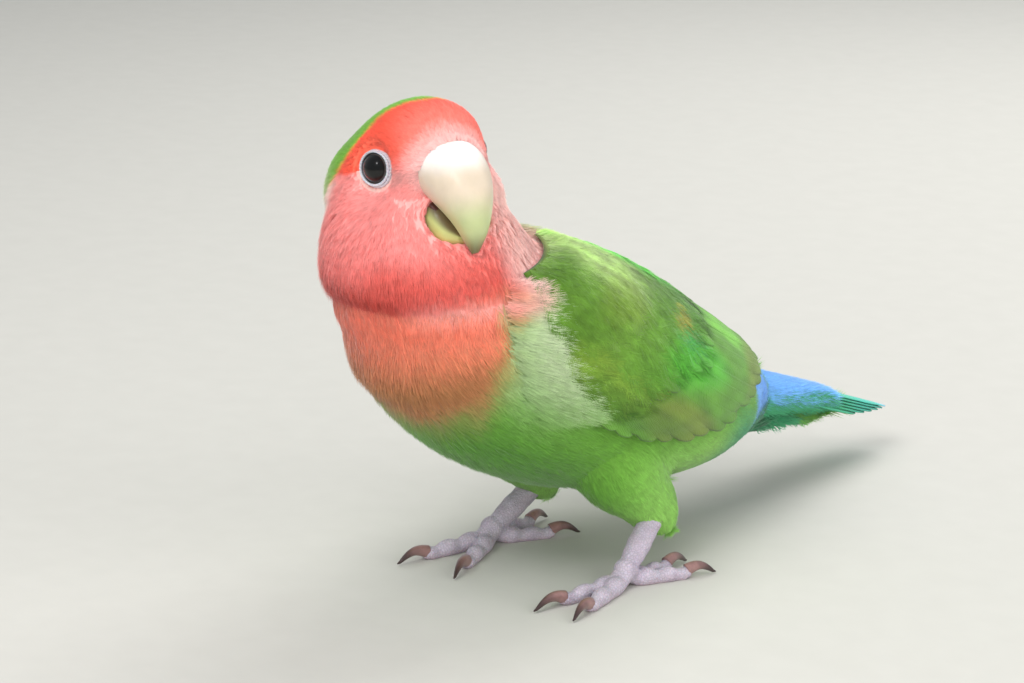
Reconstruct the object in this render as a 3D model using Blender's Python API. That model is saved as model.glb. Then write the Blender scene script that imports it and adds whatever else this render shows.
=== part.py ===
"""A peach-faced lovebird, life size, standing on both feet with its head turned to its left.

Metres, +Z up. The bird faces -Y, its left side is +X, and it stands on the plane z = 0.
Sizes below are in millimetres and are scaled once, where a mesh is made.
"""

import math

import bmesh
import bpy
from mathutils import Matrix, Vector

MM = 0.001
GAP = 0.3                       # clear space between neighbouring nodes
FAR = 200.0                     # reach of the flat cuts, well past the whole bird

# Torso, from the throat to the root of the tail. Each station is a slice across the body:
# the back's (back, up), the belly's (back, up), and half the width.
TORSO_STATIONS = (
    ((-22.0, 62.0), (-37.0, 63.0), 11.0),
    ((-15.0, 62.4), (-45.2, 55.0), 18.0),
    ((-7.0, 59.2), (-48.0, 45.0), 21.0),
    ((3.0, 54.4), (-41.5, 34.0), 21.8),
    ((13.0, 48.5), (-30.0, 24.0), 22.5),
    ((23.0, 42.0), (-15.0, 16.5), 22.5),
    ((32.0, 35.8), (2.0, 12.0), 20.5),
    ((39.5, 30.7), (18.0, 9.9), 16.5),
    ((45.0, 27.7), (31.0, 10.3), 12.0),
    ((48.5, 25.2), (42.0, 12.0), 8.5),
)
TORSO_SIDES = 28
TORSO_RINGS = 22

# Neck: the ruff of plumage between the breast and the head. Middle (x, y, z), radius.
NECK_STATIONS = (
    ((-0.8, -31.4, 42.0), 15.4),
    ((-0.6, -32.0, 50.0), 17.0),
    ((-0.6, -33.5, 58.0), 18.7),
    ((-2.2, -34.7, 66.0), 16.1),
    ((-3.2, -34.8, 73.0), 12.0),
    ((-3.0, -34.0, 79.0), 6.0),
)

# Where the flesh parts: a point (back, up) of each cut, and the cuts' slope upward.
NECK_CUT, HEAD_CUT = (-13.0, 62.0), (-13.0, 69.5)
CUT_NORMAL = (0.0, -0.31, 0.95)

# Head, in its own frame: forward, to its right, up.
HEAD_CENTRE = (-2.0, -34.2, 74.3)
HEAD_YAW = 72.0                 # turn from straight ahead towards the left wing
HEAD_PITCH = 8.0                # bill up
HEAD_ROLL = 4.0                 # crown towards its right
SKULL = (-2.2, 0.15, 0.0)       # middle of the skull's plumage in that frame
HEAD_FRONT, HEAD_BACK = 15.0, 16.4
HEAD_UP, HEAD_DOWN = 12.2, 15.0
HEAD_SIDE = 12.6
HEAD_TAPER = 0.07               # narrower before the eyes, wider behind them
CHEEK_SWELL = 3.8               # fuller cheeks, low on each side
BROW_SWELL = 3.3                # fuller forehead, flatter nape
CHIN_FLAT = 7.0                 # hollower under the bill
CHIN_HOLLOW = (12.2, 0.0, -7.6)  # where the plumage parts round the lower bill
CHIN_REACH = (6.9, 6.5, 4.8)

# Bill: stations of (ridge forward, ridge up), (cutting edge forward, up), half width.
UPPER_BILL = (
    ((8.8, 6.0), (5.0, -1.2), 5.4),
    ((12.6, 5.6), (8.5, -2.7), 5.9),
    ((16.4, 3.0), (11.3, -4.5), 5.4),
    ((19.0, -0.8), (13.2, -6.4), 4.3),
    ((19.9, -4.6), (14.3, -8.4), 3.1),
    ((19.0, -8.7), (14.8, -10.6), 1.9),
    ((16.2, -12.4), (15.3, -12.7), 0.6),
)
LOWER_BILL = (
    ((3.8, -8.4), (5.8, -1.8), 5.6),
    ((6.9, -10.6), (9.0, -3.2), 5.9),
    ((9.8, -11.8), (11.4, -5.2), 5.2),
    ((12.2, -11.6), (12.9, -7.7), 3.9),
    ((13.4, -10.9), (13.6, -9.6), 1.6),
)
NOSTRIL = (12.3, 2.2, 5.0)      # forward, outward, up
NOSTRIL_RADIUS = 0.7

# Eyes, in the head's frame: forward, outward, up.
EYE_PLACE = (1.9, 8.8, 2.3)
EYE_LOOK = (0.28, 0.95, 0.10)
EYE_RADIUS = 2.65               # across the face of the eye
EYE_DEPTH = 2.4
LID_RADIUS = 3.1                # middle of the ring of bare skin round the eye
LID_THICK = 0.38
LID_HEIGHT = 1.15               # above the middle of the eye, along its look
SOCKET = ((-2.75, 1.6), (-1.9, 2.7), (0.2, 3.8), (6.0, 4.0))     # height along the look, radius

# Legs. A foot's joint is where the shank meets the toes: (outward, back).
FOOT_JOINTS = {"left": (20.0, -7.3), "right": (12.6, -7.0)}
JOINT_HEIGHT = 2.9
HEEL = (-3.0, 13.0, 9.8)        # from the foot's joint: outward, back and up
SHANK_FOOT_RADIUS = 1.7
SHANK_RADII = (2.1, 2.0, 2.1, 2.3)
SHANK_STEPS = (0.06, 0.3, 0.55, 0.8, 1.08)
KNUCKLE_RADIUS = 2.35           # the pad where the toes meet
THIGH = (                       # outward, back, up, radius
    (11.5, -6.0, 27.0, 9.5),
    (13.2, -2.4, 19.7, 9.3),
    (15.2, 1.5, 14.2, 7.3),
    (16.6, 4.3, 9.9, 5.6),
    (17.2, 6.2, 7.6, 3.4),
    (17.3, 7.0, 6.3, 1.6),
)
TOES = {                        # length, radius, claw
    "inner_front": (14.8, 1.45, 6.0),
    "outer_front": (14.8, 1.5, 5.6),
    "inner_back": (11.5, 1.35, 4.8),
    "outer_back": (12.0, 1.4, 4.8),
}
TOE_HEADINGS = {                # degrees outward of straight ahead
    "left": {"inner_front": -5.0, "outer_front": 17.0, "inner_back": -178.0, "outer_back": 156.0},
    "right": {"inner_front": -26.0, "outer_front": 9.0, "inner_back": -152.0, "outer_back": 172.0},
}
TOE_SINK = 0.35                 # how much of a toe's round is flattened by the floor

# Wings. Places on a wing are (torso t, torso angle): the edge below, and the rows of feathers.
WING_FRONT, WING_REAR = 0.09, 0.64
WING_TOP = ((0.05, 27.0), (0.35, 20.0), (0.64, 13.0))
WING_LOW = ((0.05, 88.0), (0.12, 92.0), (0.25, 96.0), (0.36, 106.0), (0.47, 106.0),
            (0.55, 101.0), (0.62, 90.0), (0.68, 72.0))
WING_SEAT = 0.5                 # space left under the wing
WING_BULGE = 2.5
VANE_THICK = 0.55
VANE_TILT = 0.28                # how far a feather's upper edge rides over its neighbour
FLIGHT_TIPS = ((0.47, 109.0), (0.55, 105.0), (0.62, 96.0), (0.665, 82.0), (0.695, 68.0),
               (0.71, 55.0), (0.71, 43.0), (0.70, 31.0), (0.68, 20.0))
FLIGHT_ROOTS = ((0.30, 95.0), (0.34, 89.0), (0.38, 77.0), (0.40, 66.0), (0.41, 56.0),
                (0.41, 42.0), (0.38, 26.0))
COVERT_TIPS = ((0.40, 105.0), (0.46, 95.0), (0.50, 79.0), (0.52, 62.0), (0.515, 48.0), (0.49, 35.0))
COVERT_ROOTS = ((0.24, 91.0), (0.26, 79.0), (0.28, 62.0), (0.28, 48.0), (0.27, 35.0))
MEDIAN_TIPS = ((0.29, 94.0), (0.345, 79.0), (0.37, 60.0), (0.36, 42.0))
MEDIAN_ROOTS = ((0.16, 85.0), (0.17, 73.0), (0.17, 57.0), (0.165, 41.0))
SCAPULAR_TIPS = ((0.30, 27.0), (0.38, 23.0), (0.46, 20.0), (0.55, 17.0))
SCAPULAR_ROOTS = ((0.16, 31.0), (0.22, 28.0), (0.29, 25.0), (0.37, 22.0))

# Tail: its upper side runs from the rump to the tip, (back, up).
TAIL_ROOT, TAIL_TIP = (46.0, 24.6), (88.6, 10.0)
TAIL_PAIRS = 6
TAIL_STEP = 0.45                # how far each pair lies under the one above it
TAIL_ARCH = 0.022               # droop of the edges, per square millimetre from the middle
RUMP_CUT = 0.80                 # where the rump parts from the torso
UNDERTAIL = (                   # middle (back, up), half height, half width
    ((36.0, 16.4), 4.4, 7.0),
    ((45.0, 14.8), 3.5, 7.2),
    ((53.0, 14.2), 3.1, 6.4),
    ((60.0, 12.6), 2.9, 5.2),
    ((66.5, 11.4), 2.0, 3.6),
    ((72.5, 10.9), 0.5, 1.4),
)

SIDES = {"left": 1.0, "right": -1.0}

COLOURS = {
    "coral": (0.86, 0.24, 0.18),
    "green": (0.23, 0.42, 0.06),
    "wing_green": (0.20, 0.36, 0.04),
    "sky_blue": (0.16, 0.38, 0.85),
    "horn": (0.74, 0.72, 0.56),
    "eye": (0.02, 0.015, 0.015),
    "leg_skin": (0.52, 0.46, 0.52),
    "claw": (0.20, 0.13, 0.13),
}


def clear_scene():
    for obj in list(bpy.data.objects):
        bpy.data.objects.remove(obj)


def new_collection(name):
    made = bpy.data.collections.new(name)
    bpy.context.scene.collection.children.link(made)
    return made


def material(name, colour, roughness):
    made = bpy.data.materials.new(name)
    made.use_nodes = True
    shader = made.node_tree.nodes["Principled BSDF"]
    shader.inputs["Base Color"].default_value = (*COLOURS[colour], 1.0)
    shader.inputs["Roughness"].default_value = roughness
    return made


# Curves and frames

def along(stations, t):
    """The stations' numbers at t from 0 to 1, on a smooth curve through all of them."""
    flat = [[x for part in s for x in (part if isinstance(part, tuple) else (part,))]
            for s in stations]
    place = max(0.0, min(1.0, t)) * (len(flat) - 1)
    i = min(int(place), len(flat) - 2)
    f = place - i
    before, a, b, after = (flat[max(0, min(len(flat) - 1, k))] for k in (i - 1, i, i + 1, i + 2))
    return [
        0.5 * (2 * q + (r - p) * f + (2 * p - 5 * q + 4 * r - s) * f ** 2
               + (3 * q - p - 3 * r + s) * f ** 3)
        for p, q, r, s in zip(before, a, b, after)
    ]


def head_frame():
    """Forward, right and up of the head in the bird's frame."""
    yaw, pitch, roll = (math.radians(a) for a in (HEAD_YAW, HEAD_PITCH, HEAD_ROLL))
    forward = Vector((math.sin(yaw) * math.cos(pitch), -math.cos(yaw) * math.cos(pitch), math.sin(pitch)))
    level = Vector((-math.cos(yaw), -math.sin(yaw), 0.0))
    upright = level.cross(forward)
    right = level * math.cos(roll) - upright * math.sin(roll)
    up = upright * math.cos(roll) + level * math.sin(roll)
    return forward, right, up


def in_head(forward, right, up):
    f, r, u = head_frame()
    return Vector(HEAD_CENTRE) + f * forward + r * right + u * up


def head_direction(forward, right, up):
    f, r, u = head_frame()
    return (f * forward + r * right + u * up).normalized()


def torso_point(t, phi, proud=0.0, side=1.0):
    """A point of the torso's skin. t runs from the throat, 0, to the tail, 1. phi is 0 on the
    back, 90 degrees on the flank and 180 on the belly; proud is how far outside it lies."""
    back_y, back_z, belly_y, belly_z, half_width = along(TORSO_STATIONS, t)
    back = Vector((0.0, back_y, back_z))
    belly = Vector((0.0, belly_y, belly_z))
    middle = (back + belly) / 2
    half_depth = (back - belly).length / 2
    upward = (back - belly).normalized()
    angle = math.radians(phi)
    outward = Vector((side, 0.0, 0.0))
    return (middle + upward * (half_depth + proud) * math.cos(angle)
            + outward * (half_width + proud) * math.sin(angle))


# Meshes

def solid(name, points, faces, target):
    """One closed mesh object from points in millimetres, its faces turned outwards."""
    mesh = bpy.data.meshes.new(name)
    mesh.from_pydata([tuple(Vector(p) * MM) for p in points], [], faces)
    work = bmesh.new()
    work.from_mesh(mesh)
    bmesh.ops.triangulate(work, faces=work.faces)
    bmesh.ops.recalc_face_normals(work, faces=work.faces)
    work.to_mesh(mesh)
    work.free()
    made = bpy.data.objects.new(name, mesh)
    target.objects.link(made)
    return made


def loft(name, rings, target):
    """A closed solid through rings of points, each end closed by a fan to its middle."""
    count = len(rings[0])
    points = [p for ring in rings for p in ring]
    faces = []
    for i in range(len(rings) - 1):
        for j in range(count):
            a, b = i * count + j, i * count + (j + 1) % count
            faces.append((a, b, b + count, a + count))
    for start in (0, (len(rings) - 1) * count):
        ring = points[start:start + count]
        points.append(sum((Vector(p) for p in ring), Vector()) / count)
        middle = len(points) - 1
        faces += [(start + j, start + (j + 1) % count, middle) for j in range(count)]
    return solid(name, points, faces, target)


def sheet_solid(name, outer, inner, target):
    """A closed solid between two grids of points, split into triangles alike on both faces."""
    rows, columns = len(outer), len(outer[0])
    points = [p for row in outer for p in row] + [p for row in inner for p in row]
    under = rows * columns
    faces = []
    for i in range(rows - 1):
        for j in range(columns - 1):
            a = i * columns + j
            b, c, d = a + 1, a + columns + 1, a + columns
            faces += [(a, b, c), (a, c, d)]
            faces += [(under + c, under + b, under + a), (under + d, under + c, under + a)]
    rim = [j for j in range(columns)]
    rim += [i * columns + columns - 1 for i in range(1, rows)]
    rim += [(rows - 1) * columns + j for j in range(columns - 2, -1, -1)]
    rim += [i * columns for i in range(rows - 2, 0, -1)]
    for k, a in enumerate(rim):
        b = rim[(k + 1) % len(rim)]
        faces.append((b, a, a + under, b + under))
    return solid(name, points, faces, target)


def tube(name, path, radii, sides, target):
    """A round tube through path, with a radius given at each of its points."""
    rings = []
    for i, place in enumerate(path):
        ahead = path[min(i + 1, len(path) - 1)] - path[max(i - 1, 0)]
        ahead.normalize()
        across = ahead.cross(Vector((0, 0, 1)))
        if across.length < 0.1:
            across = ahead.cross(Vector((0, 1, 0)))
        across.normalize()
        over = across.cross(ahead)
        rings.append([
            place + across * radii[i] * math.cos(2 * math.pi * k / sides)
            + over * radii[i] * math.sin(2 * math.pi * k / sides)
            for k in range(sides)
        ])
    return loft(name, rings, target)


def apply_modifiers(obj):
    bpy.context.view_layer.update()
    graph = bpy.context.evaluated_depsgraph_get()
    made = bpy.data.meshes.new_from_object(obj.evaluated_get(graph))
    obj.modifiers.clear()
    old = obj.data
    obj.data = made
    bpy.data.meshes.remove(old)
    made.name = obj.name


def keep_largest(obj):
    """Keeps the node's largest closed surface, so that no loose scrap is left."""
    work = bmesh.new()
    work.from_mesh(obj.data)
    work.verts.ensure_lookup_table()
    seen, groups = set(), []
    for start in work.verts:
        if start in seen:
            continue
        group, edge = [], [start]
        seen.add(start)
        while edge:
            vert = edge.pop()
            group.append(vert)
            for link in vert.link_edges:
                other = link.other_vert(vert)
                if other not in seen:
                    seen.add(other)
                    edge.append(other)
        groups.append(group)
    groups.sort(key=len)
    spare = [v for group in groups[:-1] for v in group]
    bmesh.ops.delete(work, geom=spare, context="VERTS")
    bmesh.ops.triangulate(work, faces=work.faces)
    work.to_mesh(obj.data)
    work.free()


def combine(obj, others, operation):
    """One Boolean on obj with a collection of closed meshes, applied. The others are removed."""
    cutters = new_collection("cutters")
    for other in others:
        for home in list(other.users_collection):
            home.objects.unlink(other)
        cutters.objects.link(other)
        other.hide_render = True
        other.display_type = "WIRE"
    modifier = obj.modifiers.new(operation.lower(), "BOOLEAN")
    modifier.operation = operation
    modifier.operand_type = "COLLECTION"
    modifier.collection = cutters
    modifier.solver = "EXACT"
    apply_modifiers(obj)
    for other in list(cutters.objects):
        bpy.data.objects.remove(other)
    bpy.data.collections.remove(cutters)
    keep_largest(obj)
    return obj


def copy_of(obj, name, target):
    made = bpy.data.objects.new(name, obj.data.copy())
    target.objects.link(made)
    return made


def slab(point, normal, thick, reach, target):
    """A box with its lower face through point and square to normal."""
    mesh = bpy.data.meshes.new("slab")
    work = bmesh.new()
    bmesh.ops.create_cube(work, size=1.0)
    work.to_mesh(mesh)
    work.free()
    turn = Vector(normal).to_track_quat("Z", "Y").to_matrix().to_4x4()
    shape = Matrix.Diagonal((reach * MM, reach * MM, thick * MM, 1.0))
    place = Matrix.Translation(Vector(point) * MM)
    lift = Matrix.Translation((0.0, 0.0, thick * MM / 2))
    mesh.transform(place @ turn @ lift @ shape)
    made = bpy.data.objects.new("slab", mesh)
    target.objects.link(made)
    return made


def part_by_plane(obj, point, normal, above_name, target):
    """Parts obj by a plane: obj keeps what is below, and a new node is what is above."""
    above = copy_of(obj, above_name, target)
    unit = Vector(normal).normalized()
    keeper = slab(Vector(point) - unit * GAP / 2, unit, FAR, FAR, target)
    combine(obj, [keeper], "DIFFERENCE")
    cutter = slab(Vector(point) + unit * GAP / 2, -unit, FAR, FAR, target)
    combine(above, [cutter], "DIFFERENCE")
    return above


# Flesh

def make_torso(target, proud=0.0):
    rings = []
    for i in range(TORSO_RINGS + 1):
        rings.append([
            torso_point(i / TORSO_RINGS, 360.0 * k / TORSO_SIDES, proud)
            for k in range(TORSO_SIDES)
        ])
    return loft("torso", rings, target)


def make_neck(target, proud=0.0):
    sides, rings = 28, []
    for i in range(11):
        x, y, z, radius = along(NECK_STATIONS, i / 10)
        radius += proud
        rings.append([
            Vector((x + radius * math.sin(2 * math.pi * k / sides),
                    y + radius * math.cos(2 * math.pi * k / sides), z))
            for k in range(sides)
        ])
    return loft("neck", rings, target)


def head_radius(way):
    """How far the head's plumage reaches from the skull's middle in a direction of its frame."""
    forward, right, up = way
    reach_f = HEAD_FRONT if forward > 0 else HEAD_BACK
    reach_u = HEAD_UP if up > 0 else HEAD_DOWN
    reach_s = HEAD_SIDE * (1 - HEAD_TAPER * forward)
    base = 1.0 / math.sqrt(
        (forward / reach_f) ** 2 + (right / reach_s) ** 2 + (up / reach_u) ** 2)
    cheek = CHEEK_SWELL * abs(right) * max(0.0, 0.1 - up) * (1 - 0.6 * forward)
    chin = CHIN_FLAT * max(0.0, forward) * max(0.0, -up) * (1 - abs(right))
    return base + cheek - chin + BROW_SWELL * forward * max(0.0, up)


def ball(name, place, reach, around, down, target):
    """A ball through place(way * reach(way)) for every direction."""
    faces, ways = [], []
    for i in range(1, down):
        polar = math.pi * i / down
        for k in range(around):
            turn = 2 * math.pi * k / around
            ways.append((math.sin(polar) * math.cos(turn),
                         math.sin(polar) * math.sin(turn), math.cos(polar)))
    ways += [(0.0, 0.0, 1.0), (0.0, 0.0, -1.0)]
    points = [place(*(w * reach(way) for w in way)) for way in ways]
    top, bottom = len(points) - 2, len(points) - 1
    for i in range(down - 2):
        for k in range(around):
            a, b = i * around + k, i * around + (k + 1) % around
            faces.append((a, b, b + around, a + around))
    last = (down - 2) * around
    for k in range(around):
        faces.append((top, k, (k + 1) % around))
        faces.append((bottom, last + k, last + (k + 1) % around))
    return solid(name, points, faces, target)


def make_head(target):
    def place(forward, right, up):
        return in_head(forward + SKULL[0], right + SKULL[1], up + SKULL[2])
    return ball("head", place, head_radius, 26, 15, target)


# Bill

def bill_rings(stations, grow=0.0, rings=10, sides=14):
    made = []
    for i in range(rings + 1):
        ridge_f, ridge_u, edge_f, edge_u, half = along(stations, i / rings)
        ridge, edge = Vector((ridge_f, 0.0, ridge_u)), Vector((edge_f, 0.0, edge_u))
        middle, reach = (ridge + edge) / 2, (ridge - edge).length / 2 + grow
        way = (ridge - edge).normalized()
        ring = []
        for k in range(sides):
            a = 2 * math.pi * k / sides
            sine = math.sin(a)
            if math.cos(a) < 0:
                sine = math.copysign(math.sqrt(abs(sine)), sine)
            wide = (half + grow) * sine * (1 - 0.06 * math.cos(a))
            spot = middle + way * reach * math.cos(a)
            ring.append(in_head(spot.x, wide, spot.z))
        made.append(ring)
    if grow:
        made[0] = [p + (p - q).normalized() * grow for p, q in zip(made[0], made[1])]
        made[-1] = [p + (p - q).normalized() * grow for p, q in zip(made[-1], made[-2])]
    return made


def make_bill(head, target):
    """Both halves of the bill, with a gape between them and their roots let into the head."""
    upper = loft("bill_upper", bill_rings(UPPER_BILL), target)
    lower = loft("bill_lower", bill_rings(LOWER_BILL), target)

    def parted(forward, right, up):
        return in_head(CHIN_HOLLOW[0] + forward, CHIN_HOLLOW[1] + right, CHIN_HOLLOW[2] + up)

    def parting(way):
        return 1 / math.sqrt(sum((w / reach) ** 2 for w, reach in zip(way, CHIN_REACH)))
    combine(head, [ball("chin_hollow", parted, parting, 18, 10, target)], "DIFFERENCE")
    seats = [loft("seat", bill_rings(s, GAP), target) for s in (UPPER_BILL, LOWER_BILL)]
    combine(head, seats, "DIFFERENCE")
    combine(lower, [loft("seat", bill_rings(UPPER_BILL, GAP), target)], "DIFFERENCE")
    pits = []
    for side in (1.0, -1.0):
        def place(forward, right, up, side=side):
            return in_head(NOSTRIL[0] + forward, NOSTRIL[1] * side + right, NOSTRIL[2] + up)
        pits.append(ball("nostril", place, lambda way: NOSTRIL_RADIUS, 10, 6, target))
    combine(upper, pits, "DIFFERENCE")
    return upper, lower


# Eyes

def eye_frame(side):
    """The eye's middle, the way it looks, and two directions across it."""
    look = head_direction(EYE_LOOK[0], -side * EYE_LOOK[1], EYE_LOOK[2])
    middle = in_head(EYE_PLACE[0], -side * EYE_PLACE[1], EYE_PLACE[2])
    across = look.cross(Vector((0.0, 0.0, 1.0))).normalized()
    return middle, look, across, look.cross(across)


def lathe_on(name, frame, profile, sides, target, closed=False):
    """A solid of revolution about an eye's look, from (height, radius) pairs."""
    middle, look, across, over = frame
    rings = [[
        middle + look * height
        + (across * math.cos(2 * math.pi * k / sides) + over * math.sin(2 * math.pi * k / sides)) * radius
        for k in range(sides)] for height, radius in profile]
    if not closed:
        return loft(name, rings, target)
    count, points, faces = len(rings), [p for ring in rings for p in ring], []
    for i in range(count):
        for j in range(sides):
            a, b = i * sides + j, i * sides + (j + 1) % sides
            c, d = (i + 1) % count * sides + (j + 1) % sides, (i + 1) % count * sides + j
            faces.append((a, b, c, d))
    return solid(name, points, faces, target)


def make_eye(side_name, head, target):
    frame = eye_frame(SIDES[side_name])
    sides = 18
    combine(head, [lathe_on("socket", frame, SOCKET, sides, target)], "DIFFERENCE")
    rows = 7
    profile = []
    for i in range(rows):
        polar = math.radians(12 + 156 * i / (rows - 1))
        profile.append((-EYE_DEPTH * math.cos(polar), EYE_RADIUS * math.sin(polar)))
    lathe_on("eye_" + side_name, frame, profile, sides, target)
    ring = []
    for k in range(6):
        a = 2 * math.pi * k / 6
        ring.append((LID_HEIGHT + LID_THICK * math.sin(a), LID_RADIUS + LID_THICK * math.cos(a)))
    lathe_on("eyelids_" + side_name, frame, ring, sides, target, closed=True)


# Legs

def foot_joint(side_name):
    outward, back = FOOT_JOINTS[side_name]
    return Vector((SIDES[side_name] * outward, back, JOINT_HEIGHT))


def toe_way(side_name, toe):
    a = math.radians(TOE_HEADINGS[side_name][toe])
    return Vector((SIDES[side_name] * math.sin(a), -math.cos(a), 0.0))


def make_toe(side_name, toe, target):
    """One toe: a string of scaly pads from the foot's joint to the root of its claw."""
    length, radius, _ = TOES[toe]
    way = toe_way(side_name, toe)
    start = foot_joint(side_name)
    path, radii = [], []
    steps = 6
    for i in range(steps + 1):
        f = i / steps
        place = start + way * (length * f)
        size = radius * (1.15 - 0.32 * f + 0.10 * math.cos(6 * math.pi * f))
        rise = size - TOE_SINK
        place.z = rise + (JOINT_HEIGHT - rise) * max(0.0, 1 - f * 3.2) ** 2
        path.append(place)
        radii.append(size)
    return tube(toe, path, radii, 8, target)


def make_claw(side_name, toe, target):
    length, _, claw = TOES[toe]
    way = toe_way(side_name, toe)
    start = foot_joint(side_name) + way * (length + GAP + 0.1)
    path, radii = [], []
    for i in range(5):
        f = i / 4
        place = start + way * claw * f
        place.z = 1.45 + 0.75 * math.sin(math.pi * min(1.0, f * 1.1)) - 1.0 * f ** 2
        path.append(place)
        radii.append(0.92 * (1 - f) ** 0.8 + 0.17)
    return tube("claw_" + side_name + "_" + toe, path, radii, 7, target)


def grown_shank(side_name, target):
    """The shank's room: its own shape with the gap round it."""
    side, joint = SIDES[side_name], foot_joint(side_name)
    heel = joint + Vector((side * HEEL[0], HEEL[1], HEEL[2]))
    spare = GAP / (heel - joint).length
    steps = (SHANK_STEPS[0] - spare, *SHANK_STEPS[1:-1], SHANK_STEPS[-1] + spare)
    path = [joint + (heel - joint) * f for f in steps]
    return tube("room", path, [r + GAP for r in (SHANK_FOOT_RADIUS, *SHANK_RADII)], 12, target)


def make_leg(side_name, target):
    side = SIDES[side_name]
    joint = foot_joint(side_name)
    heel = joint + Vector((side * HEEL[0], HEEL[1], HEEL[2]))
    toes = [make_toe(side_name, toe, target) for toe in TOES]
    foot = toes[0]
    foot.name = "foot_" + side_name
    knuckle = ball("knuckle", lambda x, y, z: joint + Vector((x, y, z)), lambda way: KNUCKLE_RADIUS, 10, 6,
                   target)
    combine(foot, toes[1:] + [knuckle], "UNION")
    below_floor = slab((0, 0, -FAR), (0, 0, 1), FAR, FAR, target)
    combine(foot, [below_floor], "DIFFERENCE")
    path = [joint + (heel - joint) * f for f in SHANK_STEPS]
    shank = tube("shank_" + side_name, path, (SHANK_FOOT_RADIUS, *SHANK_RADII), 12, target)
    combine(foot, [grown_shank(side_name, target)], "DIFFERENCE")
    combine(shank, [make_torso(target, GAP)], "DIFFERENCE")
    for toe in TOES:
        make_claw(side_name, toe, target)
    return foot, shank


def make_thigh(side_name, shank, target):
    """The feathered upper leg, seated against the torso and over the shank's top."""
    side = SIDES[side_name]
    move = Vector((side * (FOOT_JOINTS[side_name][0] - 20.0), FOOT_JOINTS[side_name][1] + 7.3, 0.0))
    count = len(THIGH)
    path, radii = [], []
    for i in range(9):
        f = i / 8
        outward, back, up, radius = along(THIGH, f)
        path.append(Vector((side * outward, back, up)) + move * (0.35 + 0.65 * f))
        radii.append(radius)
    thigh = tube("thigh_" + side_name, path, radii, 18, target)
    combine(thigh, [make_torso(target, GAP), grown_shank(side_name, target)], "DIFFERENCE")
    return thigh


# Wings

def level_between(table, s):
    """Straight-line reading of a table of (s, value)."""
    if s <= table[0][0]:
        return table[0][1]
    for (s0, v0), (s1, v1) in zip(table, table[1:]):
        if s <= s1:
            return v0 + (v1 - v0) * (s - s0) / (s1 - s0)
    return table[-1][1]


def wing_skin(s, phi):
    """How proud of the torso a wing's outer face lies."""
    low = level_between(WING_LOW, s)
    top = level_between(WING_TOP, s)
    v = max(0.0, min(1.0, (phi - top) / (low - top)))
    u = max(0.0, min(1.0, (s - WING_FRONT) / (WING_REAR - WING_FRONT)))
    along_wing = math.sin(math.pi * min(1.0, 0.06 + u ** 0.7 * 0.86)) ** 0.8
    return WING_SEAT + 0.8 + WING_BULGE * along_wing * max(0.0, math.sin(math.pi * v)) ** 0.6


def vane(place, root, tip, half_width, lift, target, rows=3, tilt=0.0, lowest=None):
    """One feather as a thin solid lying on a surface.

    place(a, b, lift) is a point of the surface, root and tip are (a, b) on it, and lift is how
    far above it the root and the tip lie. The shaft runs down the middle of the feather. tilt
    raises one edge over the next feather, and lowest(a, b) is a lift it never goes under."""
    outer, inner = [], []
    for i in range(rows + 1):
        f = i / rows
        a = root[0] + (tip[0] - root[0]) * f
        b = root[1] + (tip[1] - root[1]) * f
        up = lift[0] + (lift[1] - lift[0]) * f
        wide = half_width * (0.55 + 0.45 * math.sin(math.pi * min(0.5, f * 0.7)))
        wide *= 0.32 + 0.68 * math.sqrt(max(0.0, 1 - max(0.0, (f - 0.62) / 0.38) ** 2.2))
        middle = place(a, b, up)
        ahead = place(a + 0.01 * (tip[0] - root[0]), b + 0.01 * (tip[1] - root[1]), up) - middle
        step_b = 4.0
        across = place(a, b + step_b, up) - place(a, b - step_b, up)
        normal = ahead.cross(across).normalized()
        if normal.dot(place(a, b, up + 1.0) - middle) < 0:
            normal = -normal
        square = normal.cross(ahead).normalized()
        outer_row, inner_row = [], []
        for step in (-1.0, 0.0, 1.0):
            move = square * wide * step
            reach = move.dot(across.normalized())
            turn = reach * 2 * step_b / max(0.5, across.length)
            here = up - 0.2 * abs(step) + (tilt if turn > 0 else -tilt) * abs(step)
            if lowest is not None:
                here = max(here, lowest(a, b + turn) + VANE_THICK)
            spot = place(a, b + turn, here) + move - across.normalized() * reach
            outer_row.append(spot)
            inner_row.append(spot - normal * VANE_THICK)
        outer.append(outer_row)
        inner.append(inner_row)
    return sheet_solid("vane", outer, inner, target)


def make_wing(side_name, target):
    """A folded wing: a shell over the flank, and its feathers in overlapping tiers."""
    side = SIDES[side_name]
    columns, rows = 8, 10
    outer, inner = [], []
    for i in range(rows + 1):
        s = WING_FRONT + (WING_REAR - WING_FRONT) * i / rows
        top, low = level_between(WING_TOP, s), level_between(WING_LOW, s)
        angles = [top + (low - top) * j / columns for j in range(columns + 1)]
        outer.append([torso_point(s, phi, wing_skin(s, phi), side) for phi in angles])
        inner.append([torso_point(s, phi, WING_SEAT, side) for phi in angles])
    wing = sheet_solid("wing_" + side_name, outer, inner, target)

    def place(s, phi, lift):
        return torso_point(s, phi, wing_skin(s, phi) + lift, side)

    def lowest(s, phi):
        return WING_SEAT - wing_skin(s, phi)

    tiers = (
        (9, FLIGHT_ROOTS, FLIGHT_TIPS, 3.9, (-0.9, 0.25)),
        (7, COVERT_ROOTS, COVERT_TIPS, 3.8, (-0.8, 0.40)),
        (5, MEDIAN_ROOTS, MEDIAN_TIPS, 4.2, (-0.8, 0.40)),
        (4, SCAPULAR_ROOTS, SCAPULAR_TIPS, 3.6, (-0.7, 0.30)),
    )
    feathers = []
    for count, roots, tips, half_width, lift in tiers:
        for i in range(count):
            f = i / (count - 1)
            feathers.append(vane(place, along(roots, f), along(tips, f), half_width, lift,
                                 target, tilt=VANE_TILT, lowest=lowest))
    combine(wing, feathers, "UNION")
    combine(wing, [make_neck(target, GAP)], "DIFFERENCE")
    return wing


# Tail and rump

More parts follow.
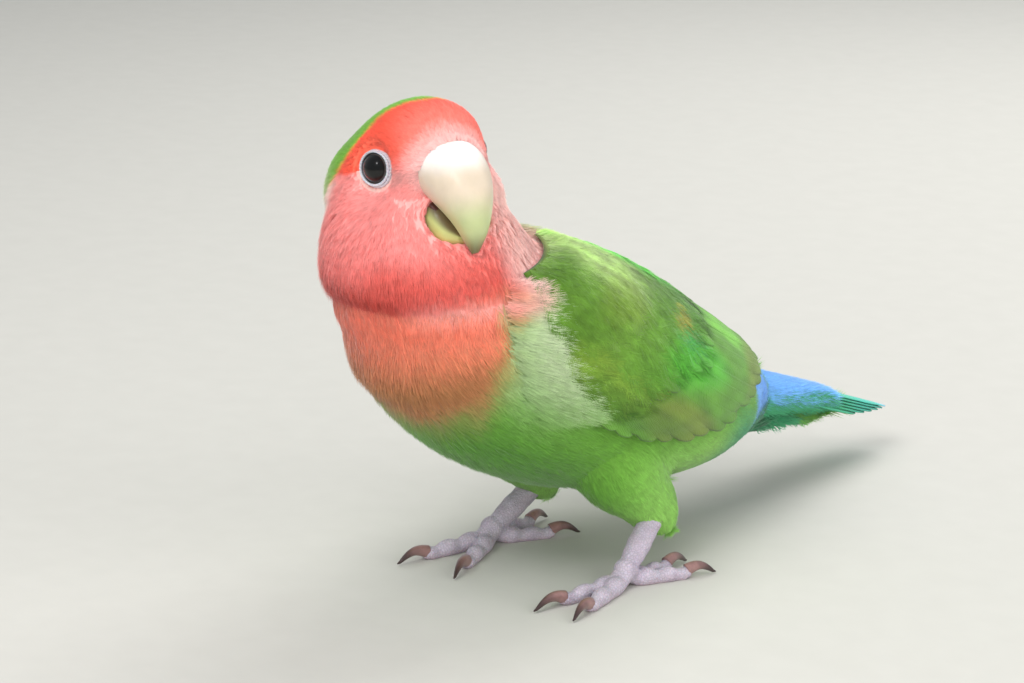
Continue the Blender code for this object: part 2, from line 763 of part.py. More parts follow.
def tail_point(back, across, lift):
    """A point on the tail's upper side, back from its root and across it, in millimetres."""
    root, tip = Vector((0.0, *TAIL_ROOT)), Vector((0.0, *TAIL_TIP))
    way = (tip - root).normalized()
    up = Vector((1.0, 0.0, 0.0)).cross(way)
    return root + way * back + Vector((across, 0.0, 0.0)) + up * (lift - TAIL_ARCH * across ** 2)


def ellipse_loft(name, stations, sides, rings, target):
    """A solid through upright ellipses: middle (back, up), half height, half width."""
    made = []
    for i in range(rings + 1):
        back, up, high, wide = along(stations, i / rings)
        made.append([
            Vector((wide * math.sin(2 * math.pi * k / sides), back,
                    up + high * math.cos(2 * math.pi * k / sides)))
            for k in range(sides)
        ])
    return loft(name, made, target)


def slice_plane(t):
    """The middle of the torso's slice at t, and the direction from it towards the tail."""
    back_y, back_z, belly_y, belly_z, _ = along(TORSO_STATIONS, t)
    middle = Vector((0.0, (back_y + belly_y) / 2, (back_z + belly_z) / 2))
    return middle, Vector((0.0, back_z - belly_z, belly_y - back_y)).normalized()


def make_tail(target):
    """Twelve tail feathers in six pairs, the middle pair on top, on a core at their roots."""
    length = math.dist(TAIL_ROOT, TAIL_TIP)
    core = []
    for i in range(5):
        back = -1.5 + 5.0 * i
        high, wide = 2.6 - 0.42 * i, 6.4 - 0.5 * i
        ring = []
        for k in range(16):
            a = 2 * math.pi * k / 16
            ring.append(tail_point(back, wide * math.sin(a), -0.5 - high + high * math.cos(a)))
        core.append(ring)
    tail = loft("tail", core, target)
    feathers = []
    for pair in range(TAIL_PAIRS):
        for side in (1.0, -1.0):
            lift = -TAIL_STEP * pair - (0.22 if side < 0 else 0.0)
            root = (1.0, side * (0.8 + 0.5 * pair))
            tip = (length - 1.6 * pair - 0.25 * pair ** 2, side * (1.2 + 0.75 * pair))
            feathers.append(vane(tail_point, root, tip, 3.3, (lift - 0.3, lift), target, rows=4))
    combine(tail, feathers, "UNION")
    middle, hindward = slice_plane(1.0)
    combine(tail, [slab(middle + hindward * GAP, -hindward, 60.0, 120.0, target)], "DIFFERENCE")
    return tail


def make_flesh(target):
    """Torso, neck and head as one body, then parted by two thin cuts."""
    torso = make_torso(target)
    combine(torso, [make_neck(target), make_head(target)], "UNION")
    head = part_by_plane(torso, (0.0, *HEAD_CUT), CUT_NORMAL, "head", target)
    part_by_plane(torso, (0.0, *NECK_CUT), CUT_NORMAL, "neck", target)
    return torso, head


def make_rump(flesh, target):
    """The hind end of the flesh with the tail's coverts above and below."""
    middle, hindward = slice_plane(RUMP_CUT)
    rump = part_by_plane(flesh, middle, hindward, "rump", target)
    coverts = []
    for row, (count, back, reach, lift) in enumerate(((5, 21.0, 5.0, 1.2), (4, 12.0, 5.5, 2.3))):
        for i in range(count):
            across = reach * (2 * i / (count - 1) - 1)
            tip = (back + 4.0 * (1 - abs(across) / 8.0), across * 0.95)
            coverts.append(vane(tail_point, (-3.5, across * 0.8), tip, 3.0,
                                (lift - 0.15, lift), target))
    under = ellipse_loft("undertail", UNDERTAIL, 16, 8, target)
    combine(rump, coverts + [under], "UNION")
    return rump


# Colours and place

SLOTS = {
    "head": "coral", "neck": "coral", "torso": "green", "thigh": "green", "wing": "wing_green",
    "rump": "sky_blue", "tail": "green", "bill": "horn", "eye": "eye", "eyelids": "leg_skin",
    "shank": "leg_skin", "foot": "leg_skin", "claw": "claw",
}
ROUGHNESS = {"horn": 0.35, "eye": 0.08, "claw": 0.4}


def colour_and_place(collection):
    """One material to each node, and the origin under the middle of the whole bird."""
    corners = [v.co for obj in collection.objects for v in obj.data.vertices]
    low = [min(c[k] for c in corners) for k in range(3)]
    high = [max(c[k] for c in corners) for k in range(3)]
    move = Vector((-(low[0] + high[0]) / 2, -(low[1] + high[1]) / 2, -low[2]))
    print("moved by, mm:", [round(x / MM, 3) for x in move])
    for obj in collection.objects:
        obj.data.transform(Matrix.Translation(move))
        slot = SLOTS[obj.name.split("_")[0]]
        obj.data.materials.clear()
        obj.data.materials.append(material(obj.name + "_" + slot, slot, ROUGHNESS.get(slot, 0.7)))


def main():
    clear_scene()
    bird = new_collection("peach_faced_lovebird")
    torso, head = make_flesh(bird)
    make_rump(torso, bird)
    make_bill(head, bird)
    make_tail(bird)
    for side in SIDES:
        make_eye(side, head, bird)
        foot, shank = make_leg(side, bird)
        make_thigh(side, shank, bird)
        make_wing(side, bird)
    colour_and_place(bird)


main()
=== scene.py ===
# %% [markdown]
# # A peach-faced lovebird, as a still, life-size model
# This lesson dresses the solids of a small parrot: a smooth skin under thousands of soft
# feathers, wings and a tail of broad vanes, a horn bill, glassy eyes and scaly feet. The packed
# solids give every size and place, so each cell builds on them and nothing is fitted by eye.
# Sizes are in millimetres, and one function turns them to metres as a mesh is made.

import math

import bpy
import numpy as np
from mathutils import Matrix, Vector
from mathutils.kdtree import KDTree


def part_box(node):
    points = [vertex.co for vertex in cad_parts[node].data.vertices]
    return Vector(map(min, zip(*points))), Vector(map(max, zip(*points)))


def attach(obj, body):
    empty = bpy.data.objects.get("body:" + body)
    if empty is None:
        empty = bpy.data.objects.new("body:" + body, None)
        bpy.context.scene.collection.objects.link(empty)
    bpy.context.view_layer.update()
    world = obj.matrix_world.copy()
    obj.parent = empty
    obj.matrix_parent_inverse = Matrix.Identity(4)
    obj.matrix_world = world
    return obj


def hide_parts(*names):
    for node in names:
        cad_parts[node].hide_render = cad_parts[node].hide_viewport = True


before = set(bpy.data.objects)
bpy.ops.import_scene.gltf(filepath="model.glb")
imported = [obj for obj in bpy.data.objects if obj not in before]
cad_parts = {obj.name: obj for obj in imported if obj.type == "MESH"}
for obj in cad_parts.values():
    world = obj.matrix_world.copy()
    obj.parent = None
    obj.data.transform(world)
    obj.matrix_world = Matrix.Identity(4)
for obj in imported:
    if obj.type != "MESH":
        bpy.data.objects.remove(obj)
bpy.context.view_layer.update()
bird = bpy.context.scene.collection
MM = 0.001

# %% [markdown]
# ## The bird's measure
# The torso is a row of slices from throat to tail, so any place on it has two numbers: t, from
# 0 at the throat to 1 at the tail, and phi, the angle from the back (0) round the flank (90) to
# the belly (180). The head has its own frame, as it is turned far to the bird's left. Feathers,
# colours and the way the plumage lies are all given in these numbers. The same stations shape
# the solids, and numpy works through thousands of places at once.

# %% Stations of the body, in millimetres
TORSO = (
    ((-22.0, 62.0), (-37.0, 63.0), 11.0),
    ((-15.0, 62.4), (-45.2, 55.0), 18.0),
    ((-7.0, 59.2), (-48.0, 45.0), 21.0),
    ((3.0, 54.4), (-41.5, 34.0), 21.8),
    ((13.0, 48.5), (-30.0, 24.0), 22.5),
    ((23.0, 42.0), (-15.0, 16.5), 22.5),
    ((32.0, 35.8), (2.0, 12.0), 20.5),
    ((39.5, 30.7), (18.0, 9.9), 16.5),
    ((45.0, 27.7), (31.0, 10.3), 12.0),
    ((48.5, 25.2), (42.0, 12.0), 8.5),
)
TORSO_LENGTH = 108.0            # along the middle of the slices
NECK = (
    ((-0.8, -31.4, 42.0), 15.4),
    ((-0.6, -32.0, 50.0), 17.0),
    ((-0.6, -33.5, 58.0), 18.7),
    ((-2.2, -34.7, 66.0), 16.1),
    ((-3.2, -34.8, 73.0), 12.0),
    ((-3.0, -34.0, 79.0), 6.0),
)
UNDERTAIL = (
    ((36.0, 16.4), 4.4, 7.0),
    ((45.0, 14.8), 3.5, 7.2),
    ((53.0, 14.2), 3.1, 6.4),
    ((60.0, 12.6), 2.9, 5.2),
    ((66.5, 11.4), 2.0, 3.6),
    ((72.5, 10.9), 0.5, 1.4),
)
THIGH = (
    (11.5, -6.0, 27.0, 9.5),
    (13.2, -2.4, 19.7, 9.3),
    (15.2, 1.5, 14.2, 7.3),
    (16.6, 4.3, 9.9, 5.6),
    (17.2, 6.2, 7.6, 3.4),
    (17.3, 7.0, 6.3, 1.6),
)
SIDES = {"left": 1.0, "right": -1.0}
FOOT_JOINTS = {"left": (20.0, -7.3), "right": (12.6, -7.0)}


def along(stations, t):
    """Reads a table of stations at t, from 0 to 1, on a smooth curve through all of them."""
    flat = np.array([np.hstack([np.ravel(part) for part in row]) for row in stations], float)
    place = np.clip(np.asarray(t, float), 0, 1) * (len(flat) - 1)
    i = np.minimum(place.astype(int), len(flat) - 2)
    f = (place - i)[..., None]
    p, q, r, s = (flat[np.clip(i + k, 0, len(flat) - 1)] for k in (-1, 0, 1, 2))
    return 0.5 * (2 * q + (r - p) * f + (2 * p - 5 * q + 4 * r - s) * f ** 2
                  + (3 * q - p - 3 * r + s) * f ** 3)


def ease(x, low, high):
    """0 below low, 1 above high, with a soft start and end."""
    f = np.clip((x - low) / (high - low), 0, 1)
    return f * f * (3 - 2 * f)


def unit(v):
    return v / np.maximum(np.linalg.norm(v, axis=-1, keepdims=True), 1e-9)


def torso_point(t, phi, proud=0.0, side=1.0):
    """Places on the torso, proud millimetres outside its plumage."""
    t, phi, proud = np.broadcast_arrays(np.asarray(t, float), phi, proud)
    row = along(TORSO, t)
    zero = np.zeros_like(t)
    back = np.stack([zero, row[..., 0], row[..., 1]], -1)
    belly = np.stack([zero, row[..., 2], row[..., 3]], -1)
    half = np.linalg.norm(back - belly, axis=-1) / 2
    angle = np.radians(phi)
    outward = np.stack([zero + side, zero, zero], -1)
    return ((back + belly) / 2
            + unit(back - belly) * ((half + proud) * np.cos(angle))[..., None]
            + outward * ((row[..., 4] + proud) * np.sin(angle))[..., None])


print("the torso's girth at its middle, mm:",
      round(float(np.linalg.norm(np.diff(torso_point(0.5, np.arange(0, 361, 5)), axis=0), axis=1).sum())))

# %% The head's frame
HEAD_CENTRE = np.array([-2.0, -34.2, 74.3])
YAW, PITCH, ROLL = (math.radians(a) for a in (72.0, 8.0, 4.0))
SKULL = np.array([-2.2, 0.15, 0.0])
FRONT, BACK, UP, DOWN, SIDE = 15.0, 16.4, 12.2, 15.0, 12.6
CHIN_HOLLOW, CHIN_REACH = np.array([12.2, 0.0, -6.7]), np.array([6.9, 6.2, 4.6])


def head_axes():
    """Forward, right and up of the turned head."""
    forward = np.array([math.sin(YAW) * math.cos(PITCH), -math.cos(YAW) * math.cos(PITCH), math.sin(PITCH)])
    level = np.array([-math.cos(YAW), -math.sin(YAW), 0.0])
    upright = np.cross(level, forward)
    return np.array([forward,
                     level * math.cos(ROLL) - upright * math.sin(ROLL),
                     upright * math.cos(ROLL) + level * math.sin(ROLL)])


HEAD_AXES = head_axes()


def in_head(points):
    """From the head's forward, right and up to the bird's frame."""
    return HEAD_CENTRE + np.asarray(points, float) @ HEAD_AXES


def to_head(points):
    return (points - HEAD_CENTRE) @ HEAD_AXES.T


def head_reach(way):
    """How far the head's plumage reaches from the skull's middle, for directions in its frame."""
    forward, right, up = np.moveaxis(way, -1, 0)
    base = 1 / np.sqrt((forward / np.where(forward > 0, FRONT, BACK)) ** 2
                       + (right / (SIDE * (1 - 0.07 * forward))) ** 2
                       + (up / np.where(up > 0, UP, DOWN)) ** 2)
    cheek = 3.8 * np.abs(right) * np.maximum(0, 0.1 - up) * (1 - 0.6 * forward)
    cheek = cheek + 1.2 * ease(-right, 0.2, 0.9) * ease(up, 0.15, -0.5)
    behind = ease(forward, 0.1, -0.5) * ease(np.abs(up - 0.1), 0.6, 0.1)
    cheek = cheek + 0.9 * ease(right, 0.4, 0.9) * behind
    chin = 7.0 * np.maximum(0, forward) * np.maximum(0, -up) * (1 - np.abs(right))
    return base + cheek - chin + 3.3 * forward * np.maximum(0, up)


UPPER_BILL = (                  # ridge (forward, up), cutting edge (forward, up), half width
    ((8.8, 6.0), (5.0, -1.2), 5.4),
    ((12.6, 5.6), (8.5, -2.7), 5.9),
    ((16.4, 3.0), (11.3, -4.5), 5.4),
    ((19.0, -0.8), (13.2, -6.4), 4.3),
    ((19.9, -4.6), (14.3, -8.4), 3.1),
    ((19.0, -8.7), (14.8, -10.6), 1.9),
    ((16.2, -12.4), (15.3, -12.7), 0.6),
)
LOWER_BILL = (
    ((3.8, -8.4), (5.8, -1.8), 5.6),
    ((6.9, -10.6), (9.0, -3.2), 5.9),
    ((9.8, -11.8), (11.4, -5.2), 5.2),
    ((12.2, -11.6), (12.9, -7.7), 3.9),
    ((13.4, -10.9), (13.6, -9.6), 1.6),
)


def bill_rings(stations, rings=90, sides=64):
    """Slices of half a bill in the head's frame: arched over the ridge, flat at the edge."""
    row = along(stations, np.linspace(0, 1, rings))
    zero = np.zeros(rings)
    ridge = np.stack([row[:, 0], zero, row[:, 1]], -1)
    edge = np.stack([row[:, 2], zero, row[:, 3]], -1)
    a = np.linspace(0, 2 * math.pi, sides, endpoint=False)
    ring = (ridge + edge)[:, None] / 2 + ((ridge - edge) / 2)[:, None] * np.cos(a)[:, None]
    full = np.sin(a) * np.maximum(np.abs(np.sin(a)), 1e-6) ** np.where(np.cos(a) < 0, -0.5, 0.0)
    ring[..., 1] = row[:, 4:] * full * (1 - 0.06 * np.cos(a))
    return ring


EYE_PLACE, EYE_LOOK = (1.9, 8.8, 2.3), (0.46, 0.87, 0.12)


def eye_frame(side):
    """The eye's middle, the way it looks, and two directions across it."""
    look = unit(np.array([EYE_LOOK[0], -side * EYE_LOOK[1], EYE_LOOK[2]]) @ HEAD_AXES)
    middle = in_head([EYE_PLACE[0], -side * EYE_PLACE[1], EYE_PLACE[2]])
    across = unit(np.cross(look, [0.0, 0.0, 1.0]))
    return middle, look, across, np.cross(look, across)


low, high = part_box("eye_left")
MOVED = np.array((low + high) / 2) / MM - eye_frame(SIDES["left"])[0]
print("the solids stand", MOVED.round(2), "mm from the stations' own origin")

# %% [markdown]
# ## Studio
# A museum bird is looked at in soft, even light. One large lamp hangs above and before it, two
# more light its front and its left side so that no shadow goes dark, and one behind gives the
# coat a bright edge. They are kept out of the gloss, as broad panes of light would grey the
# eyes, and one small lamp alone gives each eye its highlight. The camera is a long lens at the
# photograph's height and angle, so that the framing agrees.

# %% Camera
AZIMUTH, ELEVATION = math.radians(44.0), math.radians(15.5)
DISTANCE, LENS = 600.0, 118.125
FEET_PIXEL, FRAME_PIXELS, SENSOR = (570.0, 550.0), (1024.0, 683.0), 36.0
PIXELS_PER_UNIT = FRAME_PIXELS[0] * LENS / SENSOR


def make_camera():
    back = np.array([math.sin(AZIMUTH) * math.cos(ELEVATION),
                     -math.cos(AZIMUTH) * math.cos(ELEVATION), math.sin(ELEVATION)])
    right = np.array([math.cos(AZIMUTH), math.sin(AZIMUTH), 0.0])
    up = np.cross(back, right)
    sideways = (FEET_PIXEL[0] - FRAME_PIXELS[0] / 2) * DISTANCE / PIXELS_PER_UNIT
    raised = -(FEET_PIXEL[1] - FRAME_PIXELS[1] / 2) * DISTANCE / PIXELS_PER_UNIT
    place = (back * DISTANCE - right * sideways - up * raised + MOVED) * MM
    camera = bpy.data.objects.new("camera", bpy.data.cameras.new("camera"))
    camera.data.lens = LENS
    camera.data.sensor_width = SENSOR
    camera.data.clip_start = 0.01
    turn = Matrix([right, up, back]).transposed().to_4x4()
    camera.matrix_world = Matrix.Translation(place) @ turn
    bird.objects.link(camera)
    bpy.context.scene.camera = camera
    return camera


camera = make_camera()
print("camera at, mm:", [round(x / MM) for x in camera.location])

# %% [markdown]
# ## Colours and finishes
# Colours are written as sRGB hex values and turned to linear light. Nearly every part of a bird
# is patterned, so each mesh carries its markings at its points, and a finish reads them there
# and makes them a little lighter or darker in soft patches, as no natural surface is even.

# %% Colours and material helpers
def linear(hexcode):
    """An sRGB hex value as linear red, green and blue."""
    values = [int(hexcode[i:i + 2], 16) / 255 for i in (1, 3, 5)]
    return np.array([v / 12.92 if v <= 0.04045 else ((v + 0.055) / 1.055) ** 2.4 for v in values])


def hues(**codes):
    return {name: linear(code) for name, code in codes.items()}


def mix(colour, hue, share):
    """Moves a colour toward a hue by its share at each place."""
    return colour + (hue - colour) * share[..., None]


def new_material(name, **settings):
    """A Principled material; settings name the shader's sockets, with _ for a space."""
    made = bpy.data.materials.new(name)
    made.use_nodes = True
    shader = made.node_tree.nodes["Principled BSDF"]
    for socket, value in settings.items():
        shader.inputs[socket.replace("_", " ")].default_value = value
    return made, made.node_tree, shader


def add(tree, kind, links=(), **settings):
    """Adds a node. Settings are its properties or, by number or name, its sockets' values."""
    node = tree.nodes.new(kind)
    for name, value in settings.items():
        if hasattr(node, name):
            setattr(node, name, value)
        else:
            key = int(name[1:]) if name[1:].isdigit() else name.replace("_", " ")
            node.inputs[key].default_value = value
    for socket, source in dict(links).items():
        tree.links.new(source, node.inputs[socket])
    return node


def markings(tree, shader, value):
    """Colours a shader by the mesh's own markings, made lighter or darker by a value."""
    marks = add(tree, "ShaderNodeAttribute", attribute_name="plumage")
    tinted = add(tree, "ShaderNodeHueSaturation", {"Color": marks.outputs["Color"], "Value": value})
    tree.links.new(tinted.outputs[0], shader.inputs["Base Color"])
    return tinted.outputs[0]


def clouds(tree, where, size_mm, detail, low, high):
    """Soft patches about size_mm across, as values from low to high."""
    noise = add(tree, "ShaderNodeTexNoise", {"Vector": where.outputs["Object"]},
                Scale=1 / (size_mm * MM), Detail=detail)
    spread = add(tree, "ShaderNodeMapRange", {"Value": noise.outputs[0]}, From_Min=0.3, From_Max=0.7,
                 To_Min=low, To_Max=high)
    return spread.outputs[0]


print("one hex value as linear light:", linear("#808080").round(3))

# %% Floor, lights and backdrop
LAMPS = (                       # name, place in metres, power, size, seen in the gloss
    ("key_lamp", (0.05, -0.42, 0.62), 3.2, 0.55, False),
    ("front_lamp", (0.46, -0.56, 0.20), 2.7, 0.7, False),
    ("fill_lamp", (0.72, 0.12, 0.32), 2.8, 0.7, False),
    ("rim_lamp", (-0.10, 0.45, 0.50), 3.2, 0.5, False),
    ("catch_lamp", (0.16, -0.50, 0.50), 0.35, 0.13, True),
)
LIT_AT = (0.0, -0.01, 0.045)
PAPER_GRAIN_MM, PAPER_TONES = 1 / 0.9, ("#bdbbb4", "#c3c1ba")
ROOM_COLOUR, ROOM_LIGHT = (0.86, 0.90, 0.94, 1), 0.5


def make_lamp(name, place, power, size, mirrored):
    """A round soft lamp. One that isn't mirrored lights the bird but leaves no glare on it."""
    lamp = bpy.data.lights.new(name, "AREA")
    lamp.energy, lamp.shape, lamp.size = power, "DISK", size
    made = bpy.data.objects.new(name, lamp)
    made.visible_glossy = mirrored
    made.location = place
    made.rotation_euler = (Vector(LIT_AT) - Vector(place)).to_track_quat("-Z", "Y").to_euler()
    bird.objects.link(made)


def make_stage():
    bpy.ops.mesh.primitive_plane_add(size=6.0)
    floor = bpy.context.object
    floor.name = "studio_floor"
    material, tree, shader = new_material("matte_studio_paper", Roughness=0.9)
    grain = add(tree, "ShaderNodeTexNoise", Scale=1 / (PAPER_GRAIN_MM * MM), Detail=3.0)
    tint = add(tree, "ShaderNodeMix", {0: grain.outputs[0]}, data_type="RGBA")
    for socket, tone in zip((6, 7), PAPER_TONES):
        tint.inputs[socket].default_value = (*linear(tone), 1)
    tree.links.new(tint.outputs[2], shader.inputs["Base Color"])
    floor.data.materials.append(material)
    world = bpy.data.worlds.new("soft_room")
    world.use_nodes = True
    sky = world.node_tree.nodes["Background"]
    sky.inputs[0].default_value, sky.inputs[1].default_value = ROOM_COLOUR, ROOM_LIGHT
    bpy.context.scene.world = world
    bpy.context.scene.view_settings.view_transform = "Standard"
    for lamp in LAMPS:
        make_lamp(*lamp)


make_stage()
print("studio ready")

# %% [markdown]
# ## Meshes from arrays
# A coat of feathers is hundreds of thousands of faces, so meshes are written as whole arrays.
# Each mesh can carry colours at its points and a map named OFBake. In that map every feather
# keeps a small patch of its own at the place of its root, so that a baked picture of the
# coat gives each feather its own colour.

# %% Mesh writer
def get_points(obj):
    """An object's points in the bird's own frame, in millimetres."""
    return np.array([v.co for v in obj.data.vertices]) / MM - MOVED


def set_points(mesh, points):
    mesh.vertices.foreach_set("co", ((points + MOVED) * MM).astype(np.float32).ravel())


def paint(mesh, colours):
    """Writes the markings to a mesh's points."""
    layer = mesh.color_attributes.new("plumage", "FLOAT_COLOR", "POINT")
    opaque = np.ones((len(colours), 1))
    layer.data.foreach_set("color", np.hstack([colours, opaque]).astype(np.float32).ravel())


def dress(obj, material, colours):
    """Gives a form melted from several its one material, its markings and a smooth look."""
    paint(obj.data, colours)
    obj.data.materials.clear()
    obj.data.materials.append(material)
    obj.data.polygons.foreach_set("use_smooth", np.ones(len(obj.data.polygons), bool))


def make_mesh(name, points, faces, material, colours=None, uv=None, facts=None):
    """A mesh object from points in millimetres. Faces are arrays of equal-length rows."""
    mesh = bpy.data.meshes.new(name)
    faces = faces if isinstance(faces, (list, tuple)) else [faces]
    groups = [np.asarray(f, np.int32) for f in faces]
    corners = np.concatenate([g.ravel() for g in groups])
    sizes = np.concatenate([np.full(len(g), g.shape[1], np.int32) for g in groups])
    mesh.vertices.add(len(points))
    set_points(mesh, points)
    mesh.loops.add(len(corners))
    mesh.loops.foreach_set("vertex_index", corners)
    mesh.polygons.add(len(sizes))
    starts = np.concatenate([[0], np.cumsum(sizes)[:-1]])
    mesh.polygons.foreach_set("loop_start", starts.astype(np.int32))
    mesh.update(calc_edges=True)
    mesh.polygons.foreach_set("use_smooth", np.ones(len(sizes), bool))
    if colours is not None:
        paint(mesh, colours)
    if uv is not None:
        layer = mesh.uv_layers.new(name="OFBake")
        layer.data.foreach_set("uv", uv[corners].astype(np.float32).ravel())
    for fact, values in (facts or {}).items():
        layer = mesh.attributes.new(fact, "FLOAT_VECTOR", "POINT")
        layer.data.foreach_set("vector", values.astype(np.float32).ravel())
    mesh.materials.append(material)
    made = bpy.data.objects.new(name, mesh)
    bird.objects.link(made)
    return made


def grid_faces(rows, columns, wrap=False, start=0):
    """Quads over a grid of points laid out row by row, its last column joined to the first."""
    last = columns if wrap else columns - 1
    i, j = np.meshgrid(np.arange(rows - 1), np.arange(last), indexing="ij")
    k = (j + 1) % columns
    here, below = i * columns, (i + 1) * columns
    quads = np.stack([here + j, here + k, below + k, below + j], -1)
    return quads.reshape(-1, 4) + start


def keep(piece, slot, *nodes):
    """Gives a finished piece its body and hides the nodes it stands for. Its slot is not used."""
    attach(piece, "root")
    if nodes:
        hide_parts(*nodes)
    faces = sum(len(p.vertices) - 2 for p in piece.data.polygons)
    print(f"{piece.name}: {faces} triangles")
    return piece


def closed_tube(rings):
    """Points and faces of a closed solid through rings of points, from end to end."""
    rings = np.asarray(rings)
    count, sides = rings.shape[:2]
    points = np.vstack([rings.reshape(-1, 3), rings[0].mean(0), rings[-1].mean(0)])
    first, last = count * sides, count * sides + 1
    k = np.arange(sides)
    fans = np.vstack([np.stack([(k + 1) % sides, k, np.full(sides, first)], -1),
                      np.stack([k + (count - 1) * sides, (k + 1) % sides + (count - 1) * sides,
                                np.full(sides, last)], -1)])
    return points, [grid_faces(count, sides, wrap=True), fans]


# %% [markdown]
# ## Skin
# Under the feathers a bird is far slimmer than it looks. The skin here is one closed surface
# from bill to tail, a coat's depth inside the solids, so that the plumage ends where they do.
# Lofts of the torso, neck, head, thighs and undertail are laid over each other and melted into
# one with a voxel remesh, and then smoothed, which leaves no seam where one form meets the next.

# %% Forms under the skin
COAT = {"torso": 1.1, "neck": 0.5, "head": 0.5, "thigh": 1.4, "undertail": 1.2}
VOXEL = 0.75
MELT_ROUNDS = 10                # rounds of smoothing after the remesh


def ring_at(x, y, z, wide, deep, sides):
    a = np.linspace(0, 2 * math.pi, sides, endpoint=False)
    return np.stack([x + wide * np.sin(a), y + deep * np.cos(a), np.full(sides, z)], -1)


def torso_form(sides=96, rings=110):
    phi = np.linspace(0, 360, sides, endpoint=False)
    return [torso_point(t, phi, -COAT["torso"]) for t in np.linspace(0, 1, rings)]


def neck_form(sides=72, rings=40):
    rows = along(NECK, np.linspace(0, 1, rings))
    return [ring_at(x, y, z, r - COAT["neck"], r - COAT["neck"], sides) for x, y, z, r in rows]


def head_form(sides=96, rings=60):
    polar = np.linspace(0.02, math.pi - 0.02, rings)[:, None]
    turn = np.linspace(0, 2 * math.pi, sides, endpoint=False)[None]
    way = np.stack([np.sin(polar) * np.cos(turn), np.sin(polar) * np.sin(turn),
                    np.cos(polar) * np.ones_like(turn)], -1)
    return in_head(SKULL + way * (head_reach(way) - COAT["head"])[..., None])


def undertail_form(sides=40, rings=40):
    a = np.linspace(0, 2 * math.pi, sides, endpoint=False)
    rows = along(UNDERTAIL, np.linspace(0, 1, rings))
    inset = [min(COAT["undertail"], 0.6 * high) for _, _, high, _ in rows]
    return [np.stack([(w - d) * np.sin(a), np.full(sides, y), z + (h - d) * np.cos(a)], -1)
            for (y, z, h, w), d in zip(rows, inset)]


def thigh_form(side_name, sides=48, rings=36):
    side = SIDES[side_name]
    joint = FOOT_JOINTS[side_name]
    left = FOOT_JOINTS["left"]
    move = np.array([side * (joint[0] - left[0]), joint[1] - left[1], 0.0])
    f = np.linspace(0, 1, rings)
    rows = along(THIGH, f)
    path = rows[:, :3] * [side, 1, 1] + move * (0.35 + 0.65 * f)[:, None]
    ahead = unit(np.gradient(path, axis=0))
    across = unit(np.cross(ahead, [0.0, 0.0, 1.0]))
    over = np.cross(across, ahead)
    radius = np.maximum(rows[:, 3] - COAT["thigh"], 0.5)
    a = np.linspace(0, 2 * math.pi, sides, endpoint=False)
    return [p + r * (x * np.cos(a)[:, None] + o * np.sin(a)[:, None])
            for p, r, x, o in zip(path, radius, across, over)]


FORMS = {
    "torso": torso_form(), "neck": neck_form(), "head": head_form(), "undertail": undertail_form(),
    "thigh_left": thigh_form("left"), "thigh_right": thigh_form("right"),
}
FORM_NAMES = list(FORMS)
print("forms:", {name: len(rings) for name, rings in FORMS.items()})

# %% One skin from the forms
def apply_modifiers(obj):
    graph = bpy.context.evaluated_depsgraph_get()
    made = bpy.data.meshes.new_from_object(obj.evaluated_get(graph))
    obj.modifiers.clear()
    obj.data = made


def join(name, parts):
    """One mesh object of several closed ones, given as (points, faces)."""
    points, quads, fans, start = [], [], [], 0
    for part_points, (part_quads, part_fans) in parts:
        points.append(part_points)
        quads.append(part_quads + start)
        fans.append(part_fans + start)
        start += len(part_points)
    return make_mesh(name, np.vstack(points), [np.vstack(quads), np.vstack(fans)],
                     bpy.data.materials.new(name))


def melt(obj, voxel, rounds):
    """Remeshes overlapping closed forms into one surface and smooths it."""
    remesh = obj.modifiers.new("melt", "REMESH")
    remesh.mode, remesh.voxel_size = "VOXEL", voxel * MM
    soften(obj, rounds)


def soften(obj, rounds, group=""):
    relax = obj.modifiers.new("soften", "SMOOTH")
    relax.factor, relax.iterations, relax.vertex_group = 0.5, rounds, group
    apply_modifiers(obj)


def part_round_bill(obj):
    """Presses the skin in round the lower bill, to the back of a rounded hollow."""
    co = get_points(obj)
    q = (to_head(co) - CHIN_HOLLOW) / CHIN_REACH
    inside = (q ** 2).sum(1) < 1
    q[inside, 0] = -np.sqrt(np.maximum(0, 1 - q[inside, 1] ** 2 - q[inside, 2] ** 2))
    co[inside] = in_head(q[inside] * CHIN_REACH + CHIN_HOLLOW)
    set_points(obj.data, co)
    print("points pressed in round the lower bill:", int(inside.sum()))


CREASE_Z = 55.8                 # where the cheeks overhang the breast, above the floor
FOLD_HEIGHT, FOLD_REACH, FOLD_ROUNDS = 50.0, 7.0, 90
SOCKET_REACH, SOCKET_FULL, SOCKET_EDGE = 11.0, 4.5, 10.5


def crease_nearness(points, reach=1.5):
    """1 in the fold under the cheeks, fading to 0 over reach millimetres, in front only."""
    height = points[:, 2] - CREASE_Z - 0.09 * np.maximum(0, points[:, 0] - 8)
    return np.exp(-(height / reach) ** 2) * np.clip((-27.0 - points[:, 1]) / 4, 0, 1)


def press_crease(obj, depth=0.5):
    """Sinks the skin a little in the fold, towards the neck's middle line."""
    co = get_points(obj)
    inward = unit((np.array([-1.0, -31.0, 0.0]) - co) * [1, 1, 0])
    co += inward * (depth * crease_nearness(co))[:, None]
    set_points(obj.data, co)


def soften_fold(obj):
    """Evens out the front of the neck, where head, neck and breast were melted together."""
    co = get_points(obj)
    level = np.exp(-((co[:, 2] - FOLD_HEIGHT) / FOLD_REACH) ** 2)
    weight = level * np.clip((-20.0 - co[:, 1]) / 6, 0, 1)
    group = obj.vertex_groups.new(name="fold")
    for i in np.nonzero(weight > 0.03)[0]:
        group.add([int(i)], float(weight[i]), "REPLACE")
    soften(obj, FOLD_ROUNDS, "fold")


